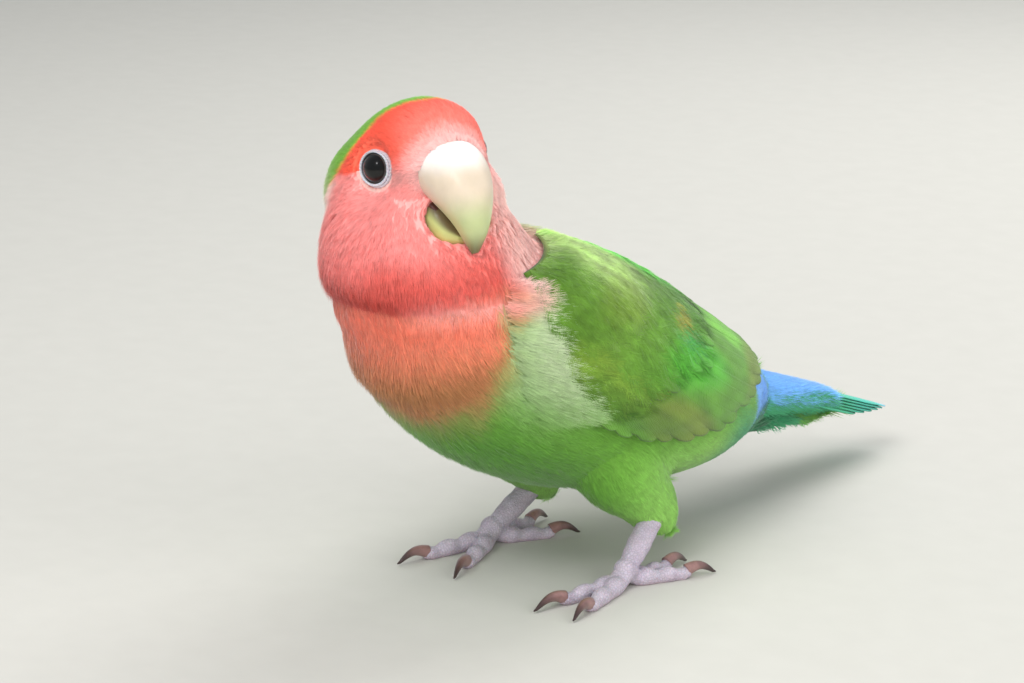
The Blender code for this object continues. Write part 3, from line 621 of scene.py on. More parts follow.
def sink_sockets(obj):
    """Presses a shallow dish round each eye, for the ball and its ring to sit in."""
    co = get_points(obj)
    for side in SIDES.values():
        middle, look, _, _ = eye_frame(side)
        offset = co - middle
        depth = offset @ look
        gap = np.linalg.norm(offset - depth[:, None] * look, axis=1)
        allowed = 0.5 + 2.2 * ease(gap, 3.0, 7.0)
        near = (gap < SOCKET_REACH) & (depth > 0)
        sunk = np.where(near, np.maximum(0, depth - allowed), 0) * ease(gap, SOCKET_EDGE, SOCKET_FULL)
        co -= sunk[:, None] * look
    set_points(obj.data, co)


skin = join("skin", [closed_tube(rings) for rings in FORMS.values()])
melt(skin, VOXEL, MELT_ROUNDS)
soften_fold(skin)
part_round_bill(skin)
press_crease(skin)
sink_sockets(skin)
print("skin:", len(skin.data.polygons), "faces")

# %% Unwrap of the skin's own shape
bpy.context.view_layer.objects.active = skin
skin.select_set(True)
bpy.ops.object.mode_set(mode="EDIT")
bpy.ops.mesh.select_all(action="SELECT")
bpy.ops.mesh.quads_convert_to_tris()
bpy.ops.uv.smart_project(angle_limit=math.radians(66), island_margin=0.004)
bpy.ops.object.mode_set(mode="OBJECT")
skin.data.uv_layers[0].name = "OFBake"


def mesh_arrays(mesh):
    """Places in millimetres, triangles' corners, and each corner's place on the unwrap."""
    co = np.zeros(len(mesh.vertices) * 3, np.float32)
    mesh.vertices.foreach_get("co", co)
    corners = np.zeros(len(mesh.loops), np.int32)
    mesh.loops.foreach_get("vertex_index", corners)
    uv = np.zeros(len(mesh.loops) * 2, np.float32)
    mesh.uv_layers[0].data.foreach_get("uv", uv)
    return co.reshape(-1, 3) / MM - MOVED, corners.reshape(-1, 3), uv.reshape(-1, 3, 2)


def doubled_areas():
    """Each triangle's outward direction, as long as twice its area."""
    a, b, c = (places[triangles[:, k]] for k in range(3))
    return np.cross(b - a, c - a)


places, triangles, unwrap = mesh_arrays(skin.data)
print("skin area, square mm:", round(float(np.linalg.norm(doubled_areas(), axis=1).sum() / 2)))

# %% [markdown]
# ## Where a place is, and how the plumage lies there
# Every point of the skin learns which form it belongs to, its t and phi on the torso, and the
# way its feathers point. On the head they fan out from the root of the bill; on the body they
# run to the tail; on the thighs they run down the leg. Averaging these directions between
# neighbouring points lets one flow into the next, as it does where a real bird's tracts meet.

# %% Facts about the skin's points
NORMAL_ROUNDS, LIE_ROUNDS = 9, 14


def nearest(samples, queries):
    """The index of the nearest sample to each query."""
    tree = KDTree(len(samples))
    for i, p in enumerate(samples):
        tree.insert(p, i)
    tree.balance()
    return np.array([tree.find(q)[1] for q in queries])


def torso_numbers(points):
    """t and phi of the nearest places on the torso."""
    steps = np.linspace(0, 1, 141), np.arange(-180, 180, 3.0)
    t, phi = (g.ravel() for g in np.meshgrid(*steps, indexing="ij"))
    i = nearest(torso_point(t, phi, -COAT["torso"]), points)
    return t[i], np.abs(phi[i])


def flat_on(up, way):
    """A direction laid flat on the surface that up stands on."""
    return unit(way - up * (way * up).sum(-1, keepdims=True))


def blend_over_skin(values, rounds, normals=None):
    """Averages a value between neighbouring points of the skin, rounds times."""
    edges = np.vstack([triangles[:, [0, 1]], triangles[:, [1, 2]], triangles[:, [2, 0]]])
    count = np.bincount(edges.ravel(), minlength=len(places))[:, None]
    for _ in range(rounds):
        total = np.zeros_like(values)
        for k in range(values.shape[1]):
            total[:, k] = (np.bincount(edges[:, 0], values[edges[:, 1], k], len(places))
                           + np.bincount(edges[:, 1], values[edges[:, 0], k], len(places)))
        values = 0.5 * values + 0.5 * total / count
        if normals is not None:
            values = flat_on(normals, values)
    return values


def point_normals():
    face = doubled_areas()
    total = [sum(np.bincount(triangles[:, j], face[:, k], len(places)) for j in range(3))
             for k in range(3)]
    return unit(np.stack(total, -1))


def unwrap_at(spots):
    """Where the skin nearest to each spot lies on the unwrap."""
    return unwrap[nearest(places[triangles].mean(1), spots)].mean(1)


samples = [np.reshape(rings, (-1, 3)) for rings in FORMS.values()]
owners = np.repeat(np.arange(len(FORMS)), [len(part) for part in samples])
form = owners[nearest(np.vstack(samples), places)]
body_t, body_phi = torso_numbers(places)
normals = unit(blend_over_skin(point_normals(), NORMAL_ROUNDS))
print("points on each form:", dict(zip(FORM_NAMES, np.bincount(form).tolist())))

# %% The lie of the plumage
BILL_ROOT = np.array([8.0, 0.0, 0.5])       # in the head's frame; face feathers fan out from it
TAIL_WAY = unit(np.array([0.0, 42.4, -16.0]))
FAN_OUT = 0.75                  # how much the breast's feathers turn to its sides


def is_form(label, name):
    return label == FORM_NAMES.index(name)


def lie_of_plumage():
    on_head = to_head(places)
    from_bill = on_head - BILL_ROOT
    droop = np.stack([np.full(len(places), -3.0), np.zeros(len(places)),
                      -4.0 * (on_head[:, 2] < 3.0)], -1)
    head_way = (from_bill + droop) @ HEAD_AXES
    ahead = torso_point(np.minimum(body_t + 0.02, 1.0), body_phi) - torso_point(body_t, body_phi)
    ahead[:, 0] *= np.where(places[:, 0] < 0, -1, 1)
    ahead[body_t > 0.97] = TAIL_WAY
    wide = np.abs(places[:, 0])
    outward = np.sign(places[:, 0]) * ease(wide, 1.0, 12.0) * ease(body_t, 0.55, 0.25)
    ways = unit(unit(ahead) + (FAN_OUT * outward)[:, None] * [1.0, 0.0, 0.0])
    ways[is_form(form, "undertail")] = TAIL_WAY
    for side_name, side in SIDES.items():
        ways[is_form(form, "thigh_" + side_name)] = unit(np.array([side * 3.0, 8.0, -14.0]))
    neck, head = is_form(form, "neck"), is_form(form, "head")
    ways[neck] = unit(ways[neck] * 0.5 + np.array([0.0, 0.0, -0.9]))
    ways[head] = unit(head_way[head])
    return blend_over_skin(flat_on(normals, ways), LIE_ROUNDS, normals)


lie = lie_of_plumage()
print("mean lie of the plumage:", lie.mean(0).round(2))

# %% [markdown]
# ## Markings
# The colours of a peach-faced lovebird lie in clear fields: an orange-red forehead, a coral
# face and bib, a grass-green body that turns teal under the tail, and a sky-blue rump. Each
# field is a small formula over the bird's own numbers, with soft borders a few feathers wide.
# One function gives the colour of any place, so that the skin and its feathers always agree.

# %% Colour fields
HUES = hues(**{
    "forehead": "#fb6a52", "brow": "#fca092", "face": "#ffa49f", "cheek_low": "#e05c4e", "crease_shade": "#bd3626",
    "cheek_tip": "#ffe9e0", "neck": "#ffc0ba", "bib": "#fb9276", "bib_low_and_shade": "#bd8c58", "olive": "#b5ab6c",
    "crown": "#86c440", "lime": "#e3c14e", "mantle": "#a9d45c", "green": "#80be48",
    "belly": "#6eb041", "breast_side": "#d9eabf", "thigh": "#a2d86c", "vent": "#4fb07c",
    "rump": "#86c6ff", "cere_down": "#fcd0cb", "lore_shade": "#cf9c96",
})
BIB_EDGE = ((0, 0.0), (40, 0.045), (50, 0.065), (62, 0.085), (72, 0.105), (84, 0.12), (94, 0.13),
            (106, 0.155), (113, 0.20), (120, 0.26), (138, 0.300), (148, 0.32), (168, 0.325), (180, 0.33))
CROWN_EDGE = ((0, 4.3), (8, 4.1), (20, 2.8), (36, 1.3), (51, -0.5), (67, -3.2), (82, -5.6), (100, -9.0),
              (130, -11.0), (180, -8.0))


def table(pairs, x):
    return np.interp(x, [p[0] for p in pairs], [p[1] for p in pairs])


def toward(colour, hue, share):
    return mix(colour, HUES[hue], share)


def ripple(points, size, seed):
    """A smooth, irregular value near -1 to 1 that changes over about size millimetres."""
    waves = np.random.default_rng(seed).normal(size=(5, 3)) / size * 1.7
    shifts = np.random.default_rng(seed + 1).uniform(0, 6.3, 5)
    return np.sin(points @ waves.T + shifts).mean(1) * 1.6


def body_colour(points, t, phi):
    drift, fine = ripple(points, 7.0, 3), ripple(points, 2.4, 5)
    colour = np.tile(HUES["green"], (len(points), 1))
    # Painted shade: the underside is given a darker green than the flanks.
    colour = toward(colour, "belly", ease(phi, 120, 160) * ease(t, 0.3, 0.45))
    colour = toward(colour, "mantle", ease(phi, 75, 40) * ease(points[:, 1], 47, 38))
    at_thigh = ease(points[:, 1], -12, 2) * ease(points[:, 2], 28, 18) * ease(phi, 60, 90)
    colour = toward(colour, "thigh", at_thigh)
    colour = toward(colour, "vent", ease(points[:, 1], 17, 32) * ease(phi, 60, 95))
    colour = toward(colour, "rump", ease(points[:, 1] + 0.5 * drift, 34.0, 36.5) * ease(phi, 100, 82)
                    * ease(points[:, 1], 47.0, 45.0))
    past = t - table(BIB_EDGE, phi) + 0.010 * drift + 0.008 * fine
    side = ease(phi, 70, 90) * ease(phi, 146, 108) * ease(t, 0.02, 0.08) * ease(t, 0.48, 0.30)
    colour = toward(colour, "breast_side", 0.78 * side * ease(past, -0.04, 0.04))
    colour = toward(colour, "olive", 0.8 * ease(past, 0.080, -0.005) * (1 - 0.85 * side))
    bib = ease(past, 0.030, -0.045)
    colour = toward(colour, "bib", bib)
    colour = toward(colour, "neck", bib * ease(phi, 108, 84) * ease(t, 0.20, 0.10))
    # The lower bib turns browner and darker: partly its grading toward the green below, partly painted shade on the
    # lower breast.
    return toward(colour, "bib_low_and_shade", bib * ease(t, 0.17, 0.31))


def head_colour(points):
    forward, right, up = to_head(points).T
    wide = np.abs(right)
    drift, fine = ripple(points, 4.0, 11), ripple(points, 1.6, 13)
    colour = np.tile(HUES["face"], (len(points), 1))
    colour = toward(colour, "cheek_low", 0.8 * ease(up + 1.2 * drift, -9.0, -17.0))
    # Painted light: the left cheek, which faces away from the lamps, is made a pale pink.
    colour = toward(colour, "neck", 0.95 * ease(-right, 3.0, 8.0) * ease(up, 0.0, -5.0))
    brow_line = 1.8 + 0.30 * np.maximum(0, forward - 4.0)
    soft = np.where(forward < 1.0, 0.45, 1.9)
    red = ease(up - brow_line + 0.35 * drift + 0.25 * fine, -soft, soft)
    colour = toward(colour, "forehead", red)
    colour = toward(colour, "brow", 0.65 * red * ease(forward, 3.0, 10.0) * ease(wide, 10.0, 5.0))
    at_bill = np.linalg.norm((to_head(points) - np.array([10.0, 0.0, 2.0])) / [4.5, 6.4, 5.4], axis=1)
    at_cere = ease(at_bill + 0.05 * fine, 1.40, 0.92) * ease(up, -4.0, 0.0)
    colour = toward(colour, "cere_down", 0.75 * at_cere)
    # Painted shade: a darker grey-pink patch in the hollow between the eye and the bill's base.
    lore_shade = np.hypot((forward - 7.4) / 3.0, (up - 0.8) / 1.8)
    colour = toward(colour, "lore_shade", 0.6 * ease(lore_shade, 1.25, 0.4) * ease(wide, 4.0, 6.5))
    angle = np.degrees(np.arctan2(wide, up))
    behind = table(CROWN_EDGE, angle) - forward + 0.35 * drift + 0.2 * fine
    colour = toward(colour, "cheek_tip", 0.75 * ease(behind, -3.4, -0.4) * ease(up, 1.5, -0.5))
    colour = toward(colour, "lime", 0.8 * ease(behind, -1.0, 0.2) * ease(up, -2.0, 2.0))
    return toward(colour, "crown", ease(behind, -0.1, 0.9))


HEAD_LEVEL = -0.31 * (-13.0) + 0.95 * 66.0   # the level plane through the neck where the fields meet


def plumage_colour(points, t, phi):
    """The plumage's colour at places given in the bird's frame, with their torso numbers."""
    level = points[:, 1] * -0.31 + points[:, 2] * 0.95 + 3.5 * ease(to_head(points)[:, 1], -4.0, -11.0)
    share = ease(level, HEAD_LEVEL - 3.0, HEAD_LEVEL + 1.5)[:, None]
    colour = body_colour(points, t, phi) * (1 - share) + head_colour(points) * share
    # Painted shade: the fold under the cheeks is darkened toward a deep red.
    colour = toward(colour, "crease_shade", 0.55 * crease_nearness(points, 2.0) * ease(points[:, 0], 16, 4))
    # Painted light: pale tips over the left cheek lift the side that faces away from the lamps.
    far_cheek_light = share[:, 0] * ease(-to_head(points)[:, 1], 3.0, 9.5) * ease(to_head(points)[:, 2], 2.0, -3.0)
    colour = toward(colour, "cheek_tip", 0.45 * far_cheek_light)
    pale = crease_nearness(points - np.array([0, 0, -1.8]), 1.8) * ease(points[:, 0], 5, 14)
    return toward(colour, "neck", 0.75 * pale)


print("fields:", ", ".join(HUES))

# %% [markdown]
# ## Feather keratin
# Small feathers owe their softness to barbs: fine branches of keratin that scatter light along
# their length. Up close they read as brushed, with a faint silky sheen and hardly any gloss.
# The material takes its colour from the markings and adds a little unevenness from barb to
# barb; the barbs themselves are real geometry, so it needs no bump of its own.

# %% Materials of the plumage
BARB_TINT_MM = 1.3


def plumage_material(name, roughness, sheen, through):
    material, tree, shader = new_material(name, Roughness=roughness, Sheen_Weight=sheen,
                                          Sheen_Roughness=0.45, Specular_IOR_Level=0.3)
    where = add(tree, "ShaderNodeTexCoord")
    tinted = markings(tree, shader, clouds(tree, where, BARB_TINT_MM, 3.0, 0.92, 1.08))
    if through:
        glow = add(tree, "ShaderNodeBsdfTranslucent", {"Color": tinted})
        both = add(tree, "ShaderNodeMixShader", {1: shader.outputs[0], 2: glow.outputs[0]}, _0=through)
        tree.links.new(both.outputs[0], tree.nodes["Material Output"].inputs["Surface"])
    return material


down = plumage_material("contour_feather_keratin", 0.62, 0.45, 0.32)
skin_finish = plumage_material("feather_bases_on_skin", 0.8, 0.1, 0.0)

# Painted shade: the skin under the coat is coloured a little darker than the plumage on it.
UNDER_SHADE = 0.95              # plumage is darker at its roots


dress(skin, skin_finish, plumage_colour(places, body_t, body_phi) * UNDER_SHADE)
keep(skin, "body_plumage", "torso", "neck", "head", "rump", "thigh_left", "thigh_right")

# %% [markdown]
# ## Small feathers
# A contour feather is a short tongue of barbs that fan out from its shaft and lie back over the
# next. Each is made here as a fan of fine tapering strips: rooted on the skin, rising by the
# coat's depth, bent to follow the body, with its outer barbs the shortest so that the fan has a
# round end. Roots are scattered evenly by area, sizes come from where on the bird they grow:
# smallest at the bill and round the eyes, longest on the belly and flanks.

# %% Feather maker
PATCH = 0.003                   # width of a feather's patch on the unwrap
TONE_SPREAD = 0.035, 0.06       # between feathers, and between the barbs of one


def feather_fans(roots, up, way, size, barbs, seed):
    """Barbs of many feathers as strips of five points. size holds each feather's length, width
    and lift, the radius it bends over and its barbs' thickness.

    Returns points of shape (feathers, barbs, 5, 3), each point's share of the feather's
    length, and its own small place within the feather's patch."""
    rng = np.random.default_rng(seed)
    count = len(roots)
    length, width, lift, bend, thick = (s[:, None] for s in size)
    spread = (np.arange(barbs) + rng.uniform(0.1, 0.9, (count, barbs))) / barbs * 2 - 1
    reach = (1 - 0.42 * np.abs(spread) ** 2.2) * rng.uniform(0.86, 1.08, (count, barbs))
    start_x = length * (0.42 * (1 - np.abs(spread)) * rng.uniform(0.0, 1.0, (count, barbs)))
    end_x, end_y = length * reach, width / 2 * spread * rng.uniform(0.8, 1.15, (count, barbs))
    curl = rng.normal(0, 0.10, (count, barbs)) * width
    rise = lift * rng.uniform(0.75, 1.2, (count, barbs))
    f = np.array([0.0, 0.55, 1.0])
    x = start_x[..., None] + (end_x - start_x)[..., None] * f
    y = end_y[..., None] * f ** 0.8 + curl[..., None] * f * (1 - f) * 2
    z = (rise * (x[..., 2] / length))[..., None] * (0.25 + 0.75 * f) * f ** 0.3
    z = z - (x ** 2 + y ** 2) / (2 * bend[..., None])
    across = np.cross(up, way)
    frame3 = np.stack([way, across, up], 1)
    middle = np.stack([x, y, z], -1) @ frame3[:, None] + roots[:, None, None]
    heading = np.stack([end_x - start_x, end_y], -1)
    heading /= np.linalg.norm(heading, axis=-1, keepdims=True)
    twist = rng.normal(0, 0.14, (count, barbs))
    side = np.stack([-heading[..., 1], heading[..., 0], twist], -1) @ frame3
    half = (thick * rng.uniform(0.7, 1.25, (count, barbs)) / 2)[..., None]
    points = np.stack([middle[:, :, 0] - side * half, middle[:, :, 0] + side * half,
                       middle[:, :, 1] - side * half * 0.85, middle[:, :, 1] + side * half * 0.85,
                       middle[:, :, 2]], 2)
    share = np.stack([x[..., 0], x[..., 0], x[..., 1], x[..., 1], x[..., 2]], -1) / length[..., None]
    place_y = np.stack([y[..., 0], y[..., 0], y[..., 1], y[..., 1], y[..., 2]], -1) / width[..., None]
    local = np.stack([np.clip(share, 0, 1) - 0.5, np.clip(place_y, -0.5, 0.5)], -1) * PATCH
    return points, share, local


def strip_faces(strips):
    """Two quads' worth of faces for each strip of five points: a quad and a pointed triangle."""
    base = (np.arange(strips) * 5)[:, None]
    quads = base + np.array([0, 2, 3, 1])
    tips = base + np.array([2, 4, 3])
    return [quads, tips]


def make_feathers(name, roots, up, way, size, barbs, colour_at, unwrapped, seed,
                  tip_glow=0.08, root_shade=0.12):
    """One coat piece. colour_at(points, feather, mm along it) gives each barb its marking."""
    size = [np.broadcast_to(np.asarray(s, float), len(roots)) for s in size]
    rng = np.random.default_rng(seed + 100)
    points, share, local = feather_fans(roots, up, way, size, barbs, seed)
    count = len(roots)
    own = np.repeat(np.arange(count), barbs)
    mark = colour_at(points[:, :, 3].reshape(-1, 3), own, (share[:, :, 3] * size[0][:, None]).ravel())
    mark = mark.reshape(count, barbs, 1, 3)
    feather_tone = rng.normal(1.0, TONE_SPREAD[0], (count, 1, 1, 1))
    barb_tone = rng.normal(1.0, TONE_SPREAD[1], (count, barbs, 1, 1))
    share = np.clip(share, 0, 1)
    shade = (1 - root_shade * (1 - share) ** 1.5 + tip_glow * share ** 3)[..., None]
    colours = np.clip(mark * feather_tone * barb_tone * shade, 0, 1)
    uv = np.clip(unwrapped[:, None, None] + local, 0, 1)
    made = make_mesh(name, points.reshape(-1, 3), strip_faces(count * barbs), down,
                     colours.reshape(-1, 3), uv.reshape(-1, 2))
    rock = rng.normal(0, 0.16, (count, barbs, 1, 1))
    lean = rock * np.cross(up, way)[:, None, None] + up[:, None, None]
    lean = unit(lean - 0.25 * way[:, None, None] * (1 - share)[..., None])
    made.data.normals_split_custom_set_from_vertices(lean.reshape(-1, 3))
    return made


print("a feather of 12 barbs has", 12 * 3, "triangles")

# %% Roots on the skin
WING_FRONT, WING_REAR = 0.09, 0.64
WING_TOP = ((0.05, 27.0), (0.35, 20.0), (0.64, 13.0))
WING_LOW = ((0.05, 88.0), (0.12, 92.0), (0.25, 96.0), (0.36, 106.0), (0.47, 106.0),
            (0.55, 101.0), (0.62, 90.0), (0.68, 72.0))


def under_wing(t, phi):
    """True where a wing lies over the place, well inside its outline."""
    inside = (t > WING_FRONT + 0.03) & (t < WING_REAR + 0.03)
    return inside & (phi > table(WING_TOP, t) + 8) & (phi < table(WING_LOW, t) - 9)


def feather_density(middle, t, phi, label):
    """Feathers for each square millimetre of skin, at triangles' middles."""
    on_head = to_head(middle)
    near_bill = np.linalg.norm(on_head - BILL_ROOT, axis=1)
    eye_gap = np.min([np.linalg.norm(middle - eye_frame(s)[0], axis=1) for s in SIDES.values()], axis=0)
    head = label == FORM_NAMES.index("head")
    density = np.where(head, 5.6, 1.6)
    density = np.where(head & ((near_bill < 9) | (eye_gap < 6)), 7.5, density)
    density = np.where(label == FORM_NAMES.index("neck"), 2.5, density)
    density = np.where(label >= FORM_NAMES.index("thigh_left"), 2.0, density)
    density = np.where((t > 0.72), 1.9, density)
    hidden = under_wing(t, phi) & (label == FORM_NAMES.index("torso"))
    return np.where(hidden, 0.0, density) * 1.0


def scatter(seed=5):
    """Roots spread over the skin by area, with what is known at each."""
    rng = np.random.default_rng(seed)
    a, b, c = (places[triangles[:, k]] for k in range(3))
    area = np.linalg.norm(np.cross(b - a, c - a), axis=1) / 2
    t, phi = body_t[triangles].mean(1), body_phi[triangles].mean(1)
    label = form[triangles[:, 0]]
    wanted = area * feather_density((a + b + c) / 3, t, phi, label)
    count = np.floor(wanted + rng.uniform(0, 1, len(wanted))).astype(int)
    own = np.repeat(np.arange(len(area)), count)
    u, v = rng.uniform(0, 1, (2, len(own)))
    flip = u + v > 1
    u[flip], v[flip] = 1 - u[flip], 1 - v[flip]
    weights = np.stack([1 - u - v, u, v], -1)

    def read(values):
        return (values[triangles[own]] * weights[..., None]).sum(1)
    roots = {
        "place": read(places), "up": unit(read(normals)), "way": unit(read(lie)),
        "t": read(body_t[:, None])[:, 0], "phi": read(body_phi[:, None])[:, 0],
        "form": label[own], "unwrap": (unwrap[own] * weights[..., None]).sum(1),
    }
    turn = rng.normal(0, 0.10, len(own)) + 0.16 * ripple(roots["place"], 5.0, 31)
    across = np.cross(roots["up"], roots["way"])
    roots["way"] = unit(roots["way"] * np.cos(turn)[:, None] + across * np.sin(turn)[:, None])
    return roots


roots = scatter()
print(len(roots["t"]), "roots")

# %% Sizes of the small feathers

HORN_PLACES = in_head(np.vstack([bill_rings(b, 24, 32).reshape(-1, 3) for b in (UPPER_BILL, LOWER_BILL)]))


def bill_distance(points):
    """Distance from the horn of the bill."""
    return np.linalg.norm(points - HORN_PLACES[nearest(HORN_PLACES, points)], axis=1)


def eye_distance(points):
    """Distance from the nearer eye's axis, measured across its look."""
    best = np.full(len(points), 99.0)
    for side in SIDES.values():
        middle, look, _, _ = eye_frame(side)
        offset = points - middle
        depth = offset @ look
        gap = np.linalg.norm(offset - depth[:, None] * look, axis=1)
        best = np.where(depth > -3, np.minimum(best, gap), best)
    return best


def looseness(r, headward=1.0):
    """Near 1 where the cheeks' feathers stand off the body: behind the right one, all round the left."""
    forward, right, up = to_head(r["place"]).T
    behind = ease(forward, 2.0, -4.0) * ease(right, 4.0, 8.0) * ease(up, 5.5, 1.0)
    left = ease(-right, 3.0, 8.0) * ease(up, 1.0, -5.0)
    return headward * np.maximum(behind, left)


def feather_sizes(r):
    """Length, width, lift, bend radius and barb thickness for each root."""
    on_head = to_head(r["place"])
    level = r["place"] @ np.array([0.0, -0.31, 0.95]) - HEAD_LEVEL
    headward = ease(level, -7.0, 2.0)
    length = 5.6 - 2.7 * headward
    length = length + 1.6 * headward * ease(on_head[:, 2], -3.0, -12.0)
    loose = looseness(r, headward)
    length = length + (1.5 - 0.9 * ease(-on_head[:, 1], 0.0, 4.0)) * loose
    length = np.minimum(length, 0.9 + 0.42 * bill_distance(r["place"]))
    length = np.minimum(length, 0.8 + 0.5 * np.maximum(eye_distance(r["place"]) - 3.4, 0.0))
    thigh = r["form"] >= FORM_NAMES.index("thigh_left")
    length = np.where(thigh, 3.4, length)
    length = length * (1 + 0.25 * ease(r["t"], 0.7, 0.95))
    width = length * (0.55 - 0.12 * headward)
    lift = np.minimum(length * (0.26 - 0.10 * headward), 1.9)
    lift = lift * (1 - 0.5 * ease(r["t"], 0.55, 0.70)) + 0.4 * loose
    lift = lift + 0.9 * ease(r["phi"], 34, 24) * (1 - headward) * ease(r["t"], 0.66, 0.5)
    bend = 24.0 - 9.0 * headward
    bend = np.where(thigh, 11.0, bend)
    thick = 0.18 - 0.075 * headward
    return length, width, lift, bend, thick


sizes = feather_sizes(roots)
bare = (eye_distance(roots["place"]) < 3.5) & (roots["form"] == FORM_NAMES.index("head"))
print("feather length, mm:", sizes[0].min().round(1), "to", sizes[0].max().round(1), "; bare:", bare.sum())

# %% Coat pieces
BARBS = 12


def region_of(r):
    """A plain name for the part of the bird that each root is on."""
    on_head = to_head(r["place"])
    names = np.full(len(r["t"]), "belly", dtype=object)
    names[r["phi"] < 80] = "back"
    names[(r["t"] < 0.36) & (r["phi"] >= 80)] = "breast"
    names[r["t"] > 0.74] = "rump"
    for label in ("undertail", "neck", "thigh_left", "thigh_right"):
        names[is_form(r["form"], label)] = label
    head, high = is_form(r["form"], "head"), on_head[:, 2] > 1
    names[head & high] = "forehead"
    names[head & high & (on_head[:, 0] < -2)] = "crown"
    names[head & ~high & (on_head[:, 1] > 0)] = "cheek_right"
    names[head & ~high & (on_head[:, 1] <= 0)] = "cheek_left"
    return names


def colour_of_barb(r):
    loose = looseness(r) * (to_head(r["place"])[:, 0] > -20) * is_form(r["form"], "head")

    def colour_at(points, own, mm_along):
        colour = plumage_colour(points, r["t"][own] + mm_along / TORSO_LENGTH, r["phi"][own])
        # Pale tips on the loose cheek feathers: partly their own pale edges, partly painted light on the left cheek,
        # which faces away from the lamps.
        return toward(colour, "cheek_tip", 0.75 * loose[own] * ease(mm_along, 1.2, 3.6))
    return colour_at


def grow_coat():
    names = region_of(roots)
    for number, region in enumerate(sorted(set(names))):
        chosen = (names == region) & ~bare
        part = {key: value[chosen] for key, value in roots.items()}
        slot = "face_plumage" if region in ("forehead", "crown", "cheek_left", "cheek_right", "neck") \
            else "rump_plumage" if region == "rump" else "body_plumage"
        piece = make_feathers("feathers_" + region, part["place"], part["up"], part["way"],
                              [s[chosen] for s in sizes], BARBS, colour_of_barb(part), part["unwrap"],
                              seed=200 + number)
        keep(piece, slot)


grow_coat()

# %% [markdown]
# ## Down round horn and bare skin
# Feathers don't stop at a line where the bill or the bare ring of the eye begins. A rim of very
# short, fine ones grows out over the edge of each, so that it's never seen.

# %% Down at the bill's edge and round the eyes
def soft_rim(name, place, up, way, length, hue, seed):
    """A rim of very short, fine feathers that hides where horn or bare skin begins."""
    rng = np.random.default_rng(seed)
    up = unit(up)
    way = flat_on(up, way)
    size = (length * rng.uniform(0.7, 1.15, len(place)), 0.55 * length, 0.22 * length, 12.0, 0.085)

    def colour_at(points, own, mm_along):
        base = plumage_colour(points, np.zeros(len(own)), np.full(len(own), 90.0))
        return toward(base, hue, 0.75 - 0.2 * mm_along / length)
    piece = make_feathers(name, place, up, way, size, 8, colour_at, unwrap_at(place), seed,
                          root_shade=0.03)
    return keep(piece, "face_plumage")


def bill_down(count=1500):
    """Roots on the horn, within half a millimetre of the skin it comes out of."""
    rng = np.random.default_rng(640)
    horn_at = in_head(bill_rings(UPPER_BILL, 200, 160)[:90].reshape(-1, 3))
    skin_at = nearest(places, horn_at)
    gap = ((horn_at - places[skin_at]) * normals[skin_at]).sum(1)
    fade = rng.uniform(0.1, 0.9, len(gap))
    edge = np.nonzero((gap > -0.15) & (gap < fade) & (to_head(horn_at)[:, 2] > 2.2))[0]
    chosen = rng.choice(edge, min(count, len(edge)), replace=False)
    off_bill = unit(horn_at[chosen] - in_head([9.5, 0.0, 1.0]))
    soft_rim("bill_down", horn_at[chosen], normals[skin_at[chosen]] + 0.6 * off_bill, lie[skin_at[chosen]],
             1.5, "cere_down", 641)


def eye_down(side_name, count=240):
    rng = np.random.default_rng(650)
    middle, look, across, over = eye_frame(SIDES[side_name])
    a = rng.uniform(math.radians(15), math.radians(165), count)[:, None]
    spokes = across * np.cos(a) + over * np.sin(a)
    place = middle + spokes * rng.uniform(3.2, 3.7, (count, 1)) + look * 0.72
    skin_at = nearest(places, place)
    soft_rim("eye_down_" + side_name, place, np.tile(look, (count, 1)), spokes + 0.6 * lie[skin_at], 1.1,
             "cheek_tip", 651)


bill_down()
for side_name in SIDES:
    eye_down(side_name)

# %% [markdown]
# ## The fringe over the wing's front edge
# At the side of the breast long, pale-tipped feathers sweep back over the bend of the wing, and
# this is where the plumage looks softest. They are grown as a second layer with fewer, thinner
# barbs to a feather, so that the green of the wing shows between them.

# %% Long side feathers
FRINGE_EDGE = ((0.02, 46.0), (0.05, 60.0), (0.085, 74.0), (0.125, 90.0), (0.20, 96.0), (0.28, 101.0),
               (0.36, 107.0), (0.42, 112.0))
FRINGE_START = 0.42             # share of the edge, from the neck, that grows none
FRINGE_COUNT, FRINGE_LENGTH, FRINGE_WIDTH = 1300, 4.6, 1.7
FRINGE_TIPS = linear("#f4f6e2"), linear("#ffeae4")


def outward_of(surface, s, phi):
    """A surface's true normal, found from its slopes both ways and pointing outward."""
    along = surface(s + 0.004, phi, 0.0) - surface(s - 0.004, phi, 0.0)
    turning = surface(s, phi + 1.0, 0.0) - surface(s, phi - 1.0, 0.0)
    normal = unit(np.cross(along, turning))
    out = surface(s, phi, 1.0) - surface(s, phi, 0.0)
    return normal * np.sign((normal * out).sum(-1, keepdims=True))


